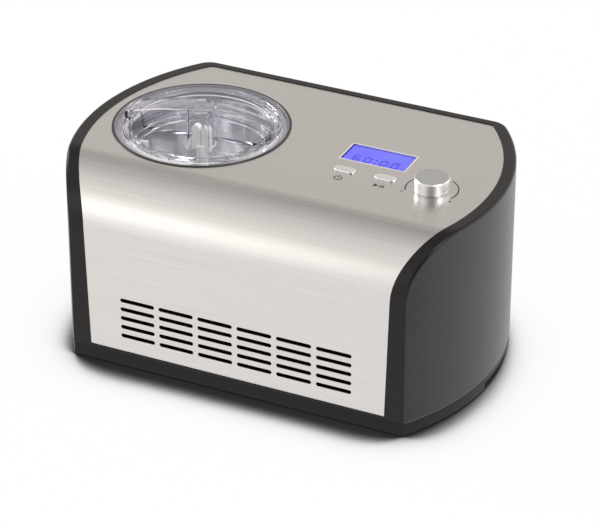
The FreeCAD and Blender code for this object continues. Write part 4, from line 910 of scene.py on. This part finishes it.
class MAKER_OT_stage(MakerOperator, bpy.types.Operator):
    """Set up camera, lamps, room and floor"""

    bl_idname = "maker.stage"
    bl_label = "Stage"

    def build(self, settings):
        stage = settings.stage
        scene = bpy.context.scene
        scene.view_settings.view_transform = "Standard"
        scene.cycles.max_bounces = BOUNCES
        scene.cycles.transmission_bounces = BOUNCES
        scene.cycles.transparent_max_bounces = BOUNCES
        scene.cycles.glossy_bounces = GLOSSY_BOUNCES
        self.camera(stage)
        self.lamp("key_lamp", stage.key_place, stage.key_side, stage.key_power)
        self.lamp("right_lamp", stage.right_place, stage.small_side, stage.small_power)
        self.lamp("left_lamp", stage.left_place, stage.small_side, stage.small_power)
        self.room(stage)
        self.floor(stage)

    def camera(self, stage):
        """Camera at its place, turned by yaw and pitch."""
        scene = bpy.context.scene
        data = bpy.data.cameras.new("camera")
        data.sensor_fit = "HORIZONTAL"
        data.sensor_width = SENSOR
        data.lens = stage.lens
        camera = bpy.data.objects.new("camera", data)
        camera.location = stage.camera_place
        camera.rotation_euler = (math.pi / 2 - stage.pitch, 0.0, stage.yaw)
        scene.collection.objects.link(camera)
        scene.camera = camera

    def lamp(self, name, spot, side, watts):
        """Square soft lamp that faces the middle of the object."""
        data = bpy.data.lights.new(name, "AREA")
        data.size = side
        data.energy = watts
        made = bpy.data.objects.new(name, data)
        made.location = spot
        aim = (CAD_BOX[0] + CAD_BOX[1]) / 2 - Vector(spot)
        made.rotation_euler = aim.to_track_quat("-Z", "Y").to_euler()
        bpy.context.scene.collection.objects.link(made)

    def room(self, stage):
        """Studio room: lit from the front left above, a darker gap overhead and a paler back wall, with
        patches of more or less light."""
        world = bpy.data.worlds.new("room")
        bpy.context.scene.world = world
        world.use_nodes = True
        tree = world.node_tree
        background = tree.nodes["Background"]
        view = tree.nodes.new("ShaderNodeTexCoord").outputs["Generated"]
        front, gap, back = tuple(stage.front_light), tuple(stage.gap_light), tuple(stage.back_light)
        between = tuple((a + b) / 2 for a, b in zip(front, gap))
        stops = [(0.0, back), (BACK_END, back), (GAP_START, gap), (GAP_END, gap), (BETWEEN, between),
                 (FRONT_START, front)]
        depth = map_range(tree, cosine(tree, view, stage.front_way), (-1.0, 1.0), 0.0, 1.0)
        tree.links.new(colour_ramp(tree, depth, stops), background.inputs["Color"])
        patches = (
            (stage.camera_place, CAMERA_SPAN, stage.camera_gap),
            (stage.right_way, RIGHT_SPAN, stage.right_light),
            (stage.left_way, LEFT_SPAN, stage.left_light),
            (stage.back_left_way, BACK_LEFT_SPAN, stage.back_left),
        )
        level, *others = [map_range(tree, cosine(tree, view, aim), span, 1.0, light)
                          for aim, span, light in patches]
        for other in others:
            level = maths(tree, "MULTIPLY", level, other)
        tree.links.new(level, background.inputs["Strength"])

    def floor(self, stage):
        """Pale floor, lifted towards white where camera, reflections and clear pieces show it. For the camera
        the white darkens near the object, by how open the floor lies."""
        half = stage.floor_side / 2
        x, y = np.meshgrid([-half, half], [-half, half])
        vertices = np.stack([x, y, np.zeros_like(x)], axis=2).reshape(-1, 3)
        mesh = bpy.data.meshes.new("floor")
        mesh.from_pydata(vertices.tolist(), [], [[0, 1, 3, 2]])
        material = finish("floor", Base_Color=tuple(stage.floor_colour), Roughness=0.9,
                          Specular_IOR_Level=0.1)
        tree = material.node_tree
        lean = tree.nodes.new("ShaderNodeNormal")
        upward = Vector((-stage.shadow_drift, stage.shadow_lean, 1.0))
        lean.outputs["Normal"].default_value = upward.normalized()
        shade = tree.nodes.new("ShaderNodeAmbientOcclusion")
        shade.samples = SHADOW_SAMPLES
        shade.inputs["Distance"].default_value = stage.contact
        tree.links.new(lean.outputs["Normal"], shade.inputs["Normal"])
        ray = tree.nodes.new("ShaderNodeLightPath").outputs
        elsewhere = maths(tree, "SUBTRACT", 1.0, ray["Is Camera Ray"])
        open_floor = maths(tree, "MAXIMUM", elsewhere, shade.outputs["AO"])
        greys = [(spot, (level, level, level)) for spot, level in SHADOW_LEVELS]
        white = tree.nodes.new("ShaderNodeEmission")
        tree.links.new(colour_ramp(tree, open_floor, greys), white.inputs["Color"])
        seen = maths(tree, "MAXIMUM", ray["Is Camera Ray"], ray["Is Glossy Ray"])
        seen = maths(tree, "MAXIMUM", seen, ray["Is Transmission Ray"])
        lift = maths(tree, "MULTIPLY", seen, stage.floor_lift)
        blend_surface(tree, lift, principled(material).outputs["BSDF"], white.outputs["Emission"])
        mesh.materials.append(material)
        made = bpy.data.objects.new("floor", mesh)
        bpy.context.scene.collection.objects.link(made)


OPERATORS = (MAKER_OT_steel_panel, MAKER_OT_housing, MAKER_OT_bowl_and_lid, MAKER_OT_controls,
             MAKER_OT_inside, MAKER_OT_display, MAKER_OT_printed_marks, MAKER_OT_stage)


class MAKER_PT_panel(bpy.types.Panel):
    """Settings and operators in the 3D view's sidebar"""

    bl_idname = "MAKER_PT_panel"
    bl_label = "Ice Cream Maker"
    bl_space_type = "VIEW_3D"
    bl_region_type = "UI"
    bl_category = "Ice Cream Maker"

    def draw(self, context):
        settings = context.scene.ice_cream_maker
        for operator in OPERATORS:
            self.layout.operator(operator.bl_idname)
        for part in MakerSettings.__annotations__:
            group = getattr(settings, part)
            box = self.layout.box()
            for name in group.__annotations__:
                box.prop(group, name)


CLASSES = (StageSettings, SteelSettings, MetalSettings, PlasticSettings, DisplaySettings, PrintSettings,
           MakerSettings, *OPERATORS, MAKER_PT_panel)


def register():
    """Makes settings, operators and panel known to Blender."""
    for made in CLASSES:
        bpy.utils.register_class(made)
    bpy.types.Scene.ice_cream_maker = PointerProperty(type=MakerSettings)


def unregister():
    """Takes them away again."""
    del bpy.types.Scene.ice_cream_maker
    for made in reversed(CLASSES):
        bpy.utils.unregister_class(made)


def main():
    """Registers the add-on and runs its operators in order."""
    register()
    bpy.ops.maker.steel_panel()
    bpy.ops.maker.housing()
    bpy.ops.maker.bowl_and_lid()
    bpy.ops.maker.controls()
    bpy.ops.maker.inside()
    bpy.ops.maker.display()
    bpy.ops.maker.printed_marks()
    bpy.ops.maker.stage()


if __name__ == "__main__":
    main()
